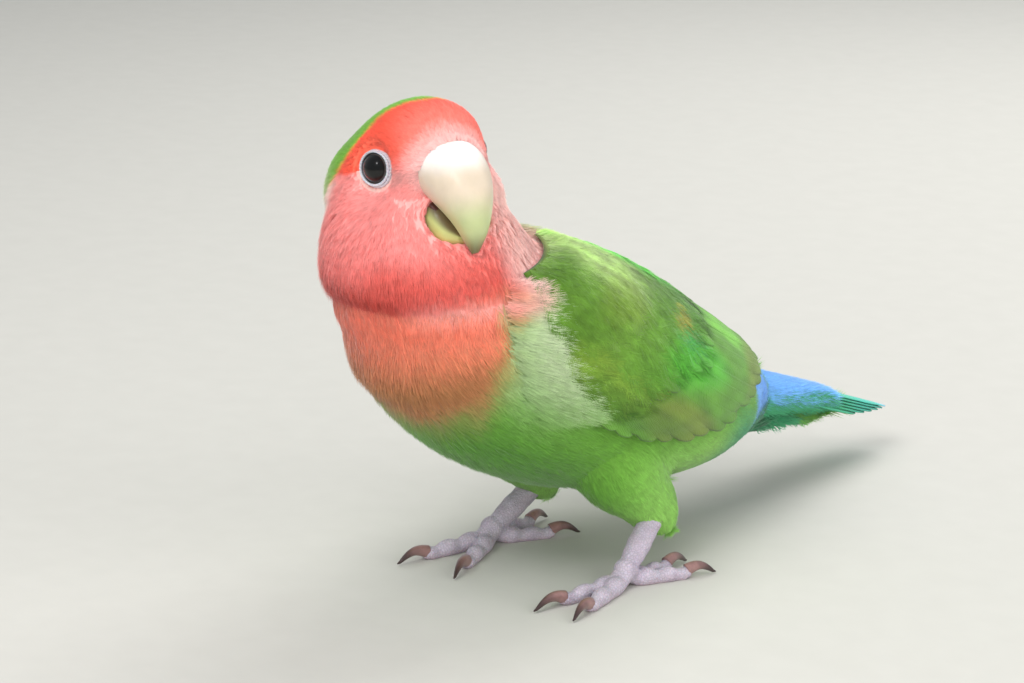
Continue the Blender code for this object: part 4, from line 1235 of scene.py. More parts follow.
def side_fringe(side_name):
    """A band of long feathers rooted before the wing and laid over its edge."""
    side = SIDES[side_name]
    rng = np.random.default_rng(17 if side > 0 else 18)
    f = rng.uniform(FRINGE_START, 1, FRINGE_COUNT // (1))
    edge_t, edge_phi = (np.interp(f, np.linspace(0, 1, len(FRINGE_EDGE)), column)
                        for column in zip(*FRINGE_EDGE))
    before = rng.uniform(-0.02, 0.08, len(f))
    t = edge_t - before * 0.35
    phi = edge_phi + before * 170 + rng.normal(0, 1.5, len(f))
    place = torso_point(t, phi, -0.1 + 1.2 * ease(before, 0.04, 0.0), side)
    up = outward_of(lambda s, turn, lift: torso_point(s, turn, lift, side), t, phi)
    toward_back = torso_point(t + 0.02, phi - 6.0, 0.0, side) - torso_point(t, phi, 0.0, side)
    way = flat_on(up, toward_back)
    length = FRINGE_LENGTH * rng.uniform(0.55, 1.1, len(f))
    length = length * (0.5 + 0.5 * ease(f, FRINGE_START, 0.55)) * (1 - 0.25 * ease(f, 0.5, 0.9))
    size = (length, FRINGE_WIDTH, 1.2 + 1.2 * ease(f, 0.3, 0.5), 34.0, 0.08)
    whiteness = rng.uniform(0.5, 1.0, len(f)) * ease(before, 0.085, 0.02)

    def colour_at(points, own, mm_along):
        base = plumage_colour(points, t[own] + 0.5 * mm_along / TORSO_LENGTH, phi[own])
        tip = mix(FRINGE_TIPS[0], FRINGE_TIPS[1], ease(f[own], 0.45, 0.25))
        return mix(base, tip, 0.9 * whiteness[own] * ease(mm_along, 0.6, 3.6))
    piece = make_feathers("fringe_" + side_name, place, up, way, size, 8, colour_at, unwrap_at(place),
                          seed=60 + int(side), tip_glow=0.15, root_shade=0.15)
    return keep(piece, "body_plumage")


for side_name in SIDES:
    side_fringe(side_name)

# %% [markdown]
# ## Wings
# A folded wing lies on the flank like a shell of tiles. Soft little coverts hide the bend, then
# come rows of larger coverts, and under them the long flight feathers, whose ends show along
# the lower edge and at the rear. These broad vanes are stiff, smooth blades, so each is a fine
# curved sheet laid on the wing's own surface, with a shaft and a slant of barbs in its finish.
# The flight feathers of this bird are clipped, so the wing ends bluntly, well short of the tail.

# %% The wing's surface
WING_SEAT, WING_BULGE, SHELL = 0.5, 2.5, 0.8


def wing_rise(s, phi):
    """How proud of the torso the wing's outer face lies."""
    low, top = table(WING_LOW, s), table(WING_TOP, s)
    v = np.clip((phi - top) / (low - top), 0, 1)
    u = np.clip((s - WING_FRONT) / (WING_REAR - WING_FRONT), 0, 1)
    swell = np.sin(math.pi * np.minimum(1, 0.06 + u ** 0.7 * 0.86)) ** 0.8
    return WING_SEAT + SHELL + WING_BULGE * swell * np.maximum(0, np.sin(math.pi * v)) ** 0.6


def wing_surface(side):
    def place(s, phi, lift):
        return torso_point(s, phi, wing_rise(s, phi) + lift, side)
    return place


WING_HUES = hues(**{
    "olive": "#63892f", "yellow": "#7d9636", "green": "#4f922d", "bright": "#54b336", "lime": "#78c040",
    "pale": "#aec47f", "amber": "#b59a40", "teal": "#43a458", "edge": "#2c4218", "brown": "#7a7434",
    "dark": "#456f25",
})
WING_PATCHES = (                # place (s, phi), reach (s, phi), hue, share
    ((0.19, 40.0), (0.17, 28.0), "pale", 0.8),
    # painted highlight: a bright green band along the wing's top edge
    ((0.33, 26.0), (0.20, 10.0), "bright", 0.75),
    ((0.20, 84.0), (0.12, 22.0), "dark", 0.25),
    ((0.27, 62.0), (0.08, 16.0), "yellow", 0.5),
    ((0.44, 52.0), (0.03, 9.0), "amber", 0.5),
    ((0.38, 96.0), (0.14, 10.0), "yellow", 0.6),
    ((0.52, 66.0), (0.09, 14.0), "bright", 0.7),
    ((0.47, 60.0), (0.05, 5.0), "teal", 0.6),
    ((0.58, 38.0), (0.10, 12.0), "lime", 0.8),
    ((0.68, 52.0), (0.05, 26.0), "brown", 0.45),
    ((0.56, 96.0), (0.10, 12.0), "brown", 0.5),
    ((0.44, 100.0), (0.14, 9.0), "dark", 0.6),
)


def wing_colour(s, phi, points):
    drift = ripple(points, 6.0, 71)
    mottle = ripple(points, 2.2, 73) + 0.8 * ripple(points, 1.1, 75)
    colour = np.tile(WING_HUES["olive"], (len(points), 1))
    colour = colour + (WING_HUES["green"] - colour) * (0.5 * ease(s, 0.30, 0.50))[:, None]
    for (at_s, at_phi), (reach_s, reach_phi), hue, share in WING_PATCHES:
        gap = np.hypot((s - at_s) / reach_s, (phi - at_phi) / reach_phi) + 0.18 * drift
        colour = colour + (WING_HUES[hue] - colour) * (share * ease(gap, 1.1, 0.45))[:, None]
    return colour * (1 + 0.12 * mottle)[:, None]


print("wing rise at its middle, mm:", round(float(wing_rise(0.4, 60.0)), 2))

# %% Vane maker
VANE_ROWS, VANE_COLUMNS, VANE_THICK = 26, 13, 0.14
ROUND_FROM = 0.60               # where a vane's end starts to round off


def vane_sheets(surface, root, tip, half, lift, tilt, blunt, seed, camber=0.35):
    """Many vanes as grids on a surface. root and tip hold (a, b) rows on it.

    Returns points (n, rows, columns, 3), the surface numbers a and b, and each point's
    millimetres along the shaft and across it."""
    rng = np.random.default_rng(seed)
    n = len(root)
    g = np.linspace(0, 1, VANE_ROWS)
    f = np.where(g < 0.6, g / 0.6 * ROUND_FROM, ROUND_FROM + (1 - ROUND_FROM) * np.sin((g - 0.6) / 0.4 * math.pi / 2))
    f = np.broadcast_to(f, (n, VANE_ROWS))
    c = np.linspace(-1, 1, VANE_COLUMNS)
    bow = rng.normal(0, 0.02, (n, 1)) * np.sin(math.pi * f)
    a = root[:, :1] + (tip[:, :1] - root[:, :1]) * f
    b = root[:, 1:] + (tip[:, 1:] - root[:, 1:]) * (f + bow)
    rise = lift[:, :1] + (lift[:, 1:] - lift[:, :1]) * f
    step_a, step_b = (tip - root)[:, :1] * 0.02, (tip - root)[:, 1:] * 0.02
    middle = surface(a, b, rise)
    da, db = 0.004, 1.0
    scale = 1.0 if abs(float(np.ptp(root[:, 0])) + float(np.ptp(tip[:, 0]))) < 3 else 100.0
    ahead = surface(a + step_a, b + step_b, rise) - middle
    along_a = (surface(a + da * scale, b, rise) - middle) / (da * scale)
    along_b = (surface(a, b + db, rise) - middle) / db
    normal = unit(np.cross(along_a, along_b))
    outside = surface(a, b, rise + 1.0) - middle
    normal *= np.sign((normal * outside).sum(-1, keepdims=True))
    square = unit(np.cross(normal, ahead))
    aa, ab, bb = (along_a ** 2).sum(-1), (along_a * along_b).sum(-1), (along_b ** 2).sum(-1)
    sa, sb = (along_a * square).sum(-1), (along_b * square).sum(-1)
    det = aa * bb - ab ** 2
    turn_a, turn_b = (bb * sa - ab * sb) / det, (aa * sb - ab * sa) / det
    wide = 0.45 + 0.55 * np.sin(math.pi / 2 * np.minimum(1, f / 0.5))
    end = np.clip((f - ROUND_FROM) / (1 - ROUND_FROM), 0, 1)
    corner = 1 - np.sqrt(np.maximum(0, 1 - end ** (2 + 2 * blunt[:, None])))
    wide = wide * (1 - (1 - 0.18 * blunt[:, None]) * corner)
    fray = 1 + rng.normal(0, 0.012, (n, VANE_ROWS))
    reach = (half[:, None] * wide * fray)[..., None] * c
    dome = camber * (1 - c ** 2) * np.minimum(1, wide)[..., None]
    above = rise[..., None] + dome + tilt[:, None, None] * c * np.minimum(1, wide)[..., None]
    above = above + rng.normal(0, 0.015, above.shape)
    at_a = a[..., None] + reach * turn_a[..., None]
    at_b = b[..., None] + reach * turn_b[..., None]
    points = surface(at_a, at_b, above)
    first = surface(root[:, 0], root[:, 1], lift[:, 0])
    length = np.linalg.norm(surface(tip[:, 0], tip[:, 1], lift[:, 1]) - first, axis=-1)
    shaft = np.broadcast_to((f * length[:, None])[..., None], reach.shape)
    return points, at_a, at_b, shaft, reach, c


def vane_cells(count):
    """An atlas for broad vanes: each keeps a cell of its own, as they are few and large."""
    across = math.ceil(math.sqrt(count))
    i = np.arange(count)
    corner = np.stack([i % across, i // across], -1) / across
    steps = (np.linspace(0.04, 0.96, number) for number in (VANE_ROWS, VANE_COLUMNS))
    v, u = np.meshgrid(*steps, indexing="ij")
    return corner[:, None, None] + np.stack([u, v], -1) / across


def vane_mesh(name, points, colours, shaft, reach, material, seed):
    """One piece of many thin vanes, with the facts its finish reads."""
    n = len(points)
    tone = np.random.default_rng(seed).uniform(0, 1, n)[:, None, None]
    facts = np.stack([shaft, reach, np.broadcast_to(tone, shaft.shape)], -1).reshape(-1, 3)
    one = VANE_ROWS * VANE_COLUMNS
    faces = np.vstack([grid_faces(VANE_ROWS, VANE_COLUMNS, start=i * one) for i in range(n)])
    piece = make_mesh(name, points.reshape(-1, 3), faces, material, colours.reshape(-1, 3),
                      vane_cells(n).reshape(-1, 2), facts={"vane": facts})
    thicken = piece.modifiers.new("thickness", "SOLIDIFY")
    thicken.thickness, thicken.offset = VANE_THICK * MM, -1.0
    apply_modifiers(piece)
    return piece


# %% [markdown]
# ## Finish of broad vanes
# A vane is a zip of barbs that leave the shaft at a slant, and it shines a little along them.
# Fine stripes at the barbs' spacing drive a bump and a faint change of tone. Real barbs are
# about a quarter of a millimetre apart, which is as fine as the render can show.

# %% Vane material
BARB_SPACING_MM, BARB_SLANT = 0.42, 0.75


def vane_material(name, roughness):
    material, tree, shader = new_material(name, Roughness=roughness, Sheen_Weight=0.12,
                                          Sheen_Roughness=0.4, Specular_IOR_Level=0.35)
    vane = add(tree, "ShaderNodeAttribute", attribute_name="vane")
    parts = add(tree, "ShaderNodeSeparateXYZ", {0: vane.outputs["Vector"]})
    off_shaft = add(tree, "ShaderNodeMath", {0: parts.outputs[1]}, operation="ABSOLUTE")
    slant = add(tree, "ShaderNodeMath", {0: off_shaft.outputs[0], 2: parts.outputs[0]},
                operation="MULTIPLY_ADD", _1=-BARB_SLANT)
    wobble = add(tree, "ShaderNodeTexNoise", {"Vector": vane.outputs["Vector"]}, Scale=0.9, Detail=2.0)
    shaken = add(tree, "ShaderNodeMath", {0: wobble.outputs[0], 2: slant.outputs[0]},
                 operation="MULTIPLY_ADD", _1=0.8)
    turns = add(tree, "ShaderNodeMath", {0: shaken.outputs[0]}, operation="MULTIPLY",
                _1=2 * math.pi / BARB_SPACING_MM)
    wave = add(tree, "ShaderNodeMath", {0: turns.outputs[0]}, operation="SINE")
    shaft = add(tree, "ShaderNodeMapRange", {"Value": off_shaft.outputs[0]}, From_Min=0.08, From_Max=0.26,
                To_Min=1.0, To_Max=0.0)
    tone = add(tree, "ShaderNodeMapRange", {"Value": wave.outputs[0]}, From_Min=-1.0, From_Max=1.0,
               To_Min=0.90, To_Max=1.07)
    markings(tree, shader, tone.outputs[0])
    height = add(tree, "ShaderNodeMath", {0: shaft.outputs[0], 2: wave.outputs[0]},
                 operation="MULTIPLY_ADD", _1=2.5)
    bump = add(tree, "ShaderNodeBump", {"Height": height.outputs[0]}, Strength=0.45, Distance=0.00005)
    tree.links.new(bump.outputs[0], shader.inputs["Normal"])
    return material


blade = vane_material("flight_feather_keratin", 0.46)

# %% Tiers of the wing
FLIGHT_TIPS = ((0.47, 109.0), (0.55, 105.0), (0.62, 96.0), (0.665, 82.0), (0.695, 68.0),
               (0.71, 55.0), (0.71, 43.0), (0.70, 31.0), (0.68, 20.0))
FLIGHT_ROOTS = ((0.30, 95.0), (0.34, 89.0), (0.38, 77.0), (0.40, 66.0), (0.41, 56.0),
                (0.41, 42.0), (0.38, 26.0))
COVERT_TIPS = ((0.40, 105.0), (0.46, 95.0), (0.50, 79.0), (0.52, 62.0), (0.515, 48.0), (0.49, 35.0))
COVERT_ROOTS = ((0.24, 91.0), (0.26, 79.0), (0.28, 62.0), (0.28, 48.0), (0.27, 35.0))
MEDIAN_TIPS = ((0.29, 94.0), (0.345, 79.0), (0.37, 60.0), (0.36, 42.0))
MEDIAN_ROOTS = ((0.16, 85.0), (0.17, 73.0), (0.17, 57.0), (0.165, 41.0))
SCAPULAR_TIPS = ((0.30, 27.0), (0.38, 23.0), (0.46, 20.0), (0.55, 17.0))
SCAPULAR_ROOTS = ((0.16, 31.0), (0.22, 28.0), (0.29, 25.0), (0.37, 22.0))
TIERS = (                       # name, how many, roots, tips, half width, lift at root and tip
    ("flight", 20, FLIGHT_ROOTS, FLIGHT_TIPS, 2.6, (-0.6, 0.30)),
    ("greater_coverts", 15, COVERT_ROOTS, COVERT_TIPS, 2.5, (-0.5, 0.26)),
    ("median_coverts", 12, MEDIAN_ROOTS, MEDIAN_TIPS, 2.3, (-0.4, 0.34)),
    ("scapulars", 10, SCAPULAR_ROOTS, SCAPULAR_TIPS, 2.3, (-0.4, 0.34)),
)


def wing_vanes(side_name):
    side, surface = SIDES[side_name], wing_surface(SIDES[side_name])
    sheets = []
    for number, (tier, count, roots_at, tips_at, half, lift) in enumerate(TIERS):
        rng = np.random.default_rng(300 + number)
        f = np.linspace(0, 1, count)
        jitter = rng.normal(0, 1, (count, 2)) * [0.008, 1.0]
        blunt = np.full(count, 0.15) + 0.75 * (f if tier == "flight" else 0 * f)
        lifts = np.tile(lift, (count, 1)) + rng.normal(0, 0.04, (count, 2))
        found = vane_sheets(surface, along(roots_at, f), along(tips_at, f) + jitter,
                            half * rng.uniform(0.93, 1.06, count), lifts, np.full(count, -0.26 * side),
                            blunt, seed=310 + number)
        sheets.append(found)
    points, s, phi, shaft, reach = (np.concatenate([sheet[k] for sheet in sheets]) for k in range(5))
    c = sheets[0][5]
    colour = wing_colour(s.ravel(), phi.ravel(), points.reshape(-1, 3)).reshape(points.shape)
    per_feather = np.random.default_rng(330).normal(1.0, 0.07, (len(points), 1, 1, 1))
    rim = ease(np.abs(c), 0.72, 1.0)[None, None, :, None]
    low_side = (-side * c > 0)[None, None, :, None] if side > 0 else (c > 0)[None, None, :, None]
    shade = np.where(low_side, 0.60, 0.12) * rim * ease(s, 0.33, 0.46)[..., None]
    root_dark = (1 - 0.25 * ease(np.linspace(0, 1, VANE_ROWS), 0.6, 0.0))[None, :, None, None]
    colour = colour * per_feather * root_dark
    colour = colour + (WING_HUES["edge"] - colour) * shade
    piece = vane_mesh("wing_vanes_" + side_name, points, np.clip(colour, 0, 1), shaft, reach, blade, 340)
    return keep(piece, "wing_plumage", "wing_" + side_name)


for side_name in SIDES:
    wing_vanes(side_name)

# %% The shell under the vanes and the soft coverts over its front
def wing_shell(side_name):
    """The flesh and down of the folded wing, closed all round."""
    side = SIDES[side_name]
    rows, columns = 50, 30
    s = np.linspace(WING_FRONT, WING_REAR, rows)[:, None] * np.ones(columns)
    v = np.linspace(0, 1, columns)[None]
    phi = table(WING_TOP, s) + (table(WING_LOW, s) - table(WING_TOP, s)) * v
    outer = torso_point(s, phi, wing_rise(s, phi) - 0.35, side).reshape(-1, 3)
    inner = torso_point(s, phi, WING_SEAT, side).reshape(-1, 3)
    top = grid_faces(rows, columns)
    under = top[:, ::-1] + len(outer)
    rim = np.concatenate([np.arange(columns), np.arange(1, rows) * columns + columns - 1,
                          (rows - 1) * columns + np.arange(columns - 2, -1, -1),
                          np.arange(rows - 2, 0, -1) * columns])
    nxt = np.roll(rim, -1)
    wall = np.stack([nxt, rim, rim + len(outer), nxt + len(outer)], -1)
    points = np.vstack([outer, inner])
    # Painted shade: the shell, seen only in the gaps under the vanes, takes the wing's colours made darker.
    colours = wing_colour(np.tile(s.ravel(), 2), np.tile(phi.ravel(), 2), points) * 0.7
    piece = make_mesh("wing_shell_" + side_name, points, np.vstack([top, under, wall]), skin_finish,
                      colours)
    return keep(piece, "wing_plumage")


def soft_coverts(side_name, count=4000):
    """Little feathers over the wing's front half, each longer than the one before it."""
    surface = wing_surface(SIDES[side_name])
    rng = np.random.default_rng(401)
    s = WING_FRONT - 0.005 + 0.44 * rng.uniform(0, 1, count) ** 1.1
    low, top = table(WING_LOW, s), table(WING_TOP, s)
    v = rng.uniform(0, 1, count)
    seen = rng.uniform(0, 1, count) > ease(s + 0.10 * np.abs(v - 0.45), 0.40, 0.52)
    s, v, low, top = s[seen], v[seen], low[seen], top[seen]
    count = len(s)
    phi = top - 2 + (low - top) * v
    over = 0.95 * ease(s, 0.12, 0.20)
    place = surface(s, phi, -0.35 + over)
    up = outward_of(surface, s, phi)
    ahead = surface(s + 0.02, phi + rng.normal(0, 1.0, count), 0.0) - surface(s, phi, 0.0)
    way = flat_on(up, ahead)
    longer = ease(s, 0.08, 0.40)
    size = (2.8 + 3.4 * longer, 2.0 + 1.0 * longer, 0.60 - 0.20 * longer, 26.0, 0.15)

    def colour_at(points, own, mm_along):
        # Painted light: the coverts are made lighter toward the wing's front, where their dense layers shade each
        # other, and along its top edge, which faces away from the lamps.
        bright = (1 + 0.5 * ease(s[own], 0.52, 0.36)) * (1 + 0.5 * ease(v[own], 0.20, 0.05))
        return wing_colour(s[own] + mm_along / TORSO_LENGTH, phi[own], points) * bright[:, None]
    unwrapped = np.stack([(s - WING_FRONT) / (WING_REAR - WING_FRONT), (phi - 10) / 100], -1) * 0.98
    piece = make_feathers("soft_coverts_" + side_name, place, up, way, size, 13, colour_at, unwrapped,
                          seed=410, tip_glow=0.10, root_shade=0.12)
    return keep(piece, "wing_plumage")


for side_name in SIDES:
    wing_shell(side_name)
    soft_coverts(side_name)

# %% [markdown]
# ## Tail
# Twelve feathers in six pairs overlap like a hand of cards, the middle pair on top. They are
# teal green above, with paler blue ends, and dark below. Sky-blue coverts run far out over
# their roots, so most of what shows from above is blue.

# %% Tail feathers
TAIL_ROOT, TAIL_TIP = np.array([0.0, 46.0, 24.4]), np.array([0.0, 88.4, 8.4])
TAIL_PAIRS, TAIL_ARCH, TAIL_STEP = 6, 0.022, 0.42
TAIL_LENGTH = float(np.linalg.norm(TAIL_TIP - TAIL_ROOT))
TAIL_UP = np.cross([1.0, 0.0, 0.0], TAIL_WAY)


def tail_surface(back, across, lift):
    back, across, lift = np.broadcast_arrays(np.asarray(back, float), across, lift)
    return (TAIL_ROOT + back[..., None] * TAIL_WAY + across[..., None] * np.array([1.0, 0.0, 0.0])
            + (lift - TAIL_ARCH * across ** 2)[..., None] * TAIL_UP)


TAIL_HUES = hues(**{
    "green": "#48bd90", "teal": "#46c0ac", "blue": "#8cc4f0", "dark": "#1f5b3d", "base": "#7ab2f5",
})


def tail_vanes():
    root, tip, lift = [], [], []
    for pair in range(TAIL_PAIRS):
        for side in (1.0, -1.0):
            under = -TAIL_STEP * pair - (0.2 if side < 0 else 0.0)
            root.append((1.0, side * (0.8 + 0.5 * pair)))
            tip.append((TAIL_LENGTH - 1.6 * pair - 0.25 * pair ** 2, side * (1.2 + 0.75 * pair)))
            lift.append((under - 0.45, under - 0.1))
    count = len(root)
    points, back, _, shaft, reach, c = vane_sheets(
        tail_surface, np.array(root), np.array(tip), np.full(count, 3.0), np.array(lift),
        np.zeros(count), np.full(count, 0.45), seed=500, camber=0.15)
    f = back / TAIL_LENGTH
    colour = np.broadcast_to(TAIL_HUES["green"], points.shape)
    colour = mix(colour, TAIL_HUES["teal"], ease(f, 0.55, 0.8))
    colour = mix(colour, TAIL_HUES["blue"], 0.8 * ease(f, 0.90, 0.99))
    rim = ease(np.abs(c), 0.6, 1.0)[None, None, :, None]
    lower = (np.arange(count) // 2 > 0)[:, None, None, None]
    colour += (TAIL_HUES["dark"] - colour) * np.where(lower, 0.5, 0.15) * rim
    piece = vane_mesh("tail_vanes", points, np.clip(colour, 0, 1), shaft, reach, blade, 510)
    return keep(piece, "tail_plumage", "tail")


def tail_core():
    """The fleshy stump that the tail feathers grow from."""
    rings = []
    for back in np.linspace(-2.5, 30.0, 24):
        f = max(0.0, back) / 30.0
        a = np.linspace(0, 2 * math.pi, 28, endpoint=False)
        high, wide = 3.0 - 2.0 * f, 6.2 - 2.4 * f
        rings.append(tail_surface(back, wide * np.sin(a), -0.7 - high + high * np.cos(a)))
    points, faces = closed_tube(rings)
    share = ease(np.append(np.repeat(np.linspace(-2.5, 30.0, 24), 28), [-2.5, 30.0]), 2.0, 10.0)[:, None]
    colours = TAIL_HUES["base"] * 0.8 * (1 - share) + TAIL_HUES["green"] * share
    return keep(make_mesh("tail_core", points, faces, skin_finish, colours), "tail_plumage")


def tail_coverts(count=1150):
    """Sky-blue coverts over the tail's root, the last of them long enough to reach its middle."""
    rng = np.random.default_rng(520)
    back = rng.uniform(-7.0, 18.0, count)
    turn = rng.uniform(-1.75, 1.75, count)
    wide, high = 7.2 - 0.08 * back, 5.0 - 0.17 * back
    across = wide * np.sin(turn)
    sideways = np.array([1.0, 0.0, 0.0])
    place = tail_surface(back, 0.0, 0.15 + high * (np.cos(turn) - 1)) + across[:, None] * sideways
    up = unit((np.sin(turn) / wide)[:, None] * sideways + (np.cos(turn) / high)[:, None] * TAIL_UP)
    way = flat_on(up, TAIL_WAY + sideways * (-0.02 * across)[:, None])
    size = (rng.uniform(7.0, 9.5, count), rng.uniform(3.0, 4.0, count), 1.0 + 0.02 * back, 60.0, 0.20)

    def colour_at(points, own, mm_along):
        low = ease(np.abs(turn[own]), 1.3, 1.6)[:, None]
        base = HUES["rump"] * (1 - low) + HUES["vent"] * low
        return mix(base, TAIL_HUES["teal"], 0.6 * ease(back[own] + mm_along, 24, 28))
    unwrapped = np.stack([(turn + 1.8) / 3.6, (back + 8) / 27], -1) * 0.98
    piece = make_feathers("tail_coverts", place, up, way, size, 14, colour_at, unwrapped, seed=530,
                          tip_glow=0.08, root_shade=0.25)
    return keep(piece, "rump_plumage")


tail_vanes()
tail_core()
tail_coverts()

# %% [markdown]
# ## Bill
# The bill is bone in a sheath of horn: smooth, a little waxy, nearly white at the cere and
# greener toward the hooked tip, where the sheath is thin. The white over its top is partly
# painted sheen. Both halves are lofts through slices from ridge to cutting edge, with the solids'
# own stations and far finer steps. Horn lets some light in, so the finish has a shallow scatter
# under a soft gloss, and faint growth lines.

# %% Both halves of the bill
HORN_HUES = hues(**{
    "cere_and_sheen": "#e6dfda", "cream": "#cbbba6", "green": "#b1bf83", "tip": "#585f41", "lower": "#bcc27a",
    "mouth_and_gape_shade": "#4a2620",
})


HORN_CLOUD_MM, HORN_LINES_MM = 1 / 0.42, (1 / 0.9, 1 / 0.9, 1 / 0.22)


def horn_material(name):
    material, tree, shader = new_material(name, Roughness=0.33, Subsurface_Weight=0.22,
                                          Subsurface_Scale=0.0012, Coat_Weight=0.25, Coat_Roughness=0.18)
    shader.inputs["Subsurface Radius"].default_value = (1.0, 0.75, 0.5)
    where = add(tree, "ShaderNodeTexCoord")
    markings(tree, shader, clouds(tree, where, HORN_CLOUD_MM, 5.0, 0.95, 1.04))
    grown = add(tree, "ShaderNodeMapping", {"Vector": where.outputs["Object"]})
    grown.inputs["Scale"].default_value = [1 / (size * MM) for size in HORN_LINES_MM]
    lines = add(tree, "ShaderNodeTexNoise", {"Vector": grown.outputs[0]}, Scale=1.0, Detail=3.0)
    bump = add(tree, "ShaderNodeBump", {"Height": lines.outputs[0]}, Strength=0.25, Distance=0.00008)
    tree.links.new(bump.outputs[0], shader.inputs["Normal"])
    return material


horn = horn_material("waxy_bill_horn")
NOSTRIL, NOSTRIL_RADIUS = np.array([11.0, 2.6, 5.6]), 0.7


def horn_colour(ring):
    """Cream horn, white toward the top, partly its own colour and partly painted sheen, and green toward the tip."""
    up = ring[..., 2].ravel()
    colour = np.tile(HORN_HUES["cream"], (len(up), 1))
    for hue, share, none, full in (("cere_and_sheen", 1.0, 0.0, 4.0), ("green", 0.85, -1.5, -7.5),
                                   ("tip", 0.9, -8.5, -12.5)):
        colour = mix(colour, HORN_HUES[hue], share * ease(up, none, full))
    return colour


def nostril_gap(ring, side):
    return np.linalg.norm(ring - NOSTRIL * [1.0, side, 1.0], axis=-1)


def upper_bill():
    ring = bill_rings(UPPER_BILL)
    for side in (1.0, -1.0):
        gap = nostril_gap(ring, side)
        pit = np.exp(-(gap / NOSTRIL_RADIUS) ** 2)[..., None]
        lip = (np.exp(-((gap - 1.25) / 0.45) ** 2) * 0.16)[..., None]
        inward = unit(np.array([9.5, 0.0, 3.0]) - ring)
        ring = ring + inward * (0.35 * pit - 0.5 * lip)
    points, faces = closed_tube(in_head(ring))
    colour = horn_colour(ring)
    for side in (1.0, -1.0):
        gap = nostril_gap(ring, side).ravel()
        colour = colour * (1 - 0.3 * np.exp(-(gap / 0.75) ** 2))[:, None]
    colour = np.vstack([colour, colour[:1], colour[-1:]])
    return keep(make_mesh("bill_upper_horn", points, faces, horn, colour), "bill_horn", "bill_upper")


def lower_bill():
    ring = bill_rings(LOWER_BILL, rings=60)
    ring = ring + np.array([0.10, 0.0, 0.45]) * ease(ring[..., 2], -12.0, -6.0)[..., None]
    points, faces = closed_tube(in_head(ring))
    colours = np.tile(HORN_HUES["lower"], (len(points), 1))
    rim = ease(np.append(ring[..., 2].ravel(), [-9.0, -9.5]), -9.5, -5.0)
    colours = mix(colours, HORN_HUES["green"], 0.5 * rim)
    # The lower bill's upper side, inside the bill, takes the lining's dark colour: partly its own, partly painted
    # shade along the gape.
    inside = ease(-np.cos(np.linspace(0, 2 * math.pi, 64, endpoint=False)), 0.45, 0.85)
    inside = np.append(np.tile(inside, 60), [0.0, 0.0])
    colours = mix(colours, HORN_HUES["mouth_and_gape_shade"], 0.85 * inside)
    return keep(make_mesh("bill_lower_horn", points, faces, horn, colours), "bill_horn", "bill_lower")


def mouth_and_gape_shade():
    """The soft lining inside the bill, which shows as a dark line where its halves meet: partly its own colour,
    partly painted shade in the gap.
    """
    stations = (
        ((5.4, -0.6), (5.6, -3.0), 4.4),
        ((8.6, -2.0), (8.8, -4.4), 4.9),
        ((11.0, -4.0), (11.2, -6.2), 4.2),
        ((12.8, -6.6), (12.7, -8.5), 3.0),
        ((13.4, -8.9), (13.4, -10.0), 1.2),
    )
    points, faces = closed_tube(in_head(bill_rings(stations, 30, 32)))
    colours = np.tile(HORN_HUES["mouth_and_gape_shade"], (len(points), 1))
    return keep(make_mesh("mouth_lining_and_gape_shade", points, faces, horn, colours), "bill_horn")


upper_bill()
lower_bill()
mouth_and_gape_shade()

# %% [markdown]
# ## Eyes
# A lovebird's eye is almost all pupil, in a narrow dark ring of iris, behind a clear, wet
# cornea. Round it lies a ring of bare, pale, finely creased skin. The ball is a glossy lathe
# whose colour changes with the distance from its axis, and a clear coat stands for the cornea.
# The bare ring is a lathe too, with folds that run round it and little cross creases.

# %% Eyeballs
EYE_RADIUS, EYE_DEPTH, PUPIL_RADIUS = 2.65, 2.4, 2.25
EYE_HUES = hues(**{
    "pupil": "#030303", "iris": "#5a5452", "rim": "#1d1716", "lid": "#d8dae2", "lid_pink": "#dcc4c4",
    "lid_crease": "#8d8f9c",
})


def lathe(side, heights, radii, sides=96):
    middle, look, across, over = eye_frame(side)
    a = np.linspace(0, 2 * math.pi, sides, endpoint=False)
    spokes = across * np.cos(a)[:, None] + over * np.sin(a)[:, None]
    heights, radii = (np.broadcast_to(np.asarray(v, float).reshape(len(v), -1), (len(v), sides))
                      for v in (heights, radii))
    return middle + look * heights[..., None] + spokes * radii[..., None]


def eyeball(side_name):
    polar = np.radians(np.linspace(2, 178, 90))
    rings = lathe(SIDES[side_name], EYE_DEPTH * np.cos(polar), EYE_RADIUS * np.sin(polar))
    points, faces = closed_tube(rings)
    faces = [f[:, ::-1] for f in faces]
    radius = np.repeat(EYE_RADIUS * np.sin(polar), 96)
    radius = np.append(radius, [0.0, 0.0])
    colour = np.tile(EYE_HUES["pupil"], (len(points), 1))
    colour = mix(colour, EYE_HUES["iris"], ease(radius, PUPIL_RADIUS - 0.05, PUPIL_RADIUS + 0.12))
    colour = mix(colour, EYE_HUES["rim"], 0.85 * ease(radius, 2.45, 2.75))
    ball = make_mesh("eyeball_" + side_name, points, faces, cornea, colour)
    return keep(ball, "eye", "eye_" + side_name)


def cornea_material(name):
    material, tree, shader = new_material(name, Roughness=0.3, Coat_Weight=1.0, Coat_Roughness=0.02,
                                          Coat_IOR=1.36, Specular_IOR_Level=0.15)
    marks = add(tree, "ShaderNodeAttribute", attribute_name="plumage")
    tree.links.new(marks.outputs["Color"], shader.inputs["Base Color"])
    return material


cornea = cornea_material("wet_eye")
for side_name in SIDES:
    eyeball(side_name)

# %% Rings of bare skin
RING_INNER, RING_OUTER = 2.55, 3.15
SKIN_CLOUD_MM = 1 / 0.52


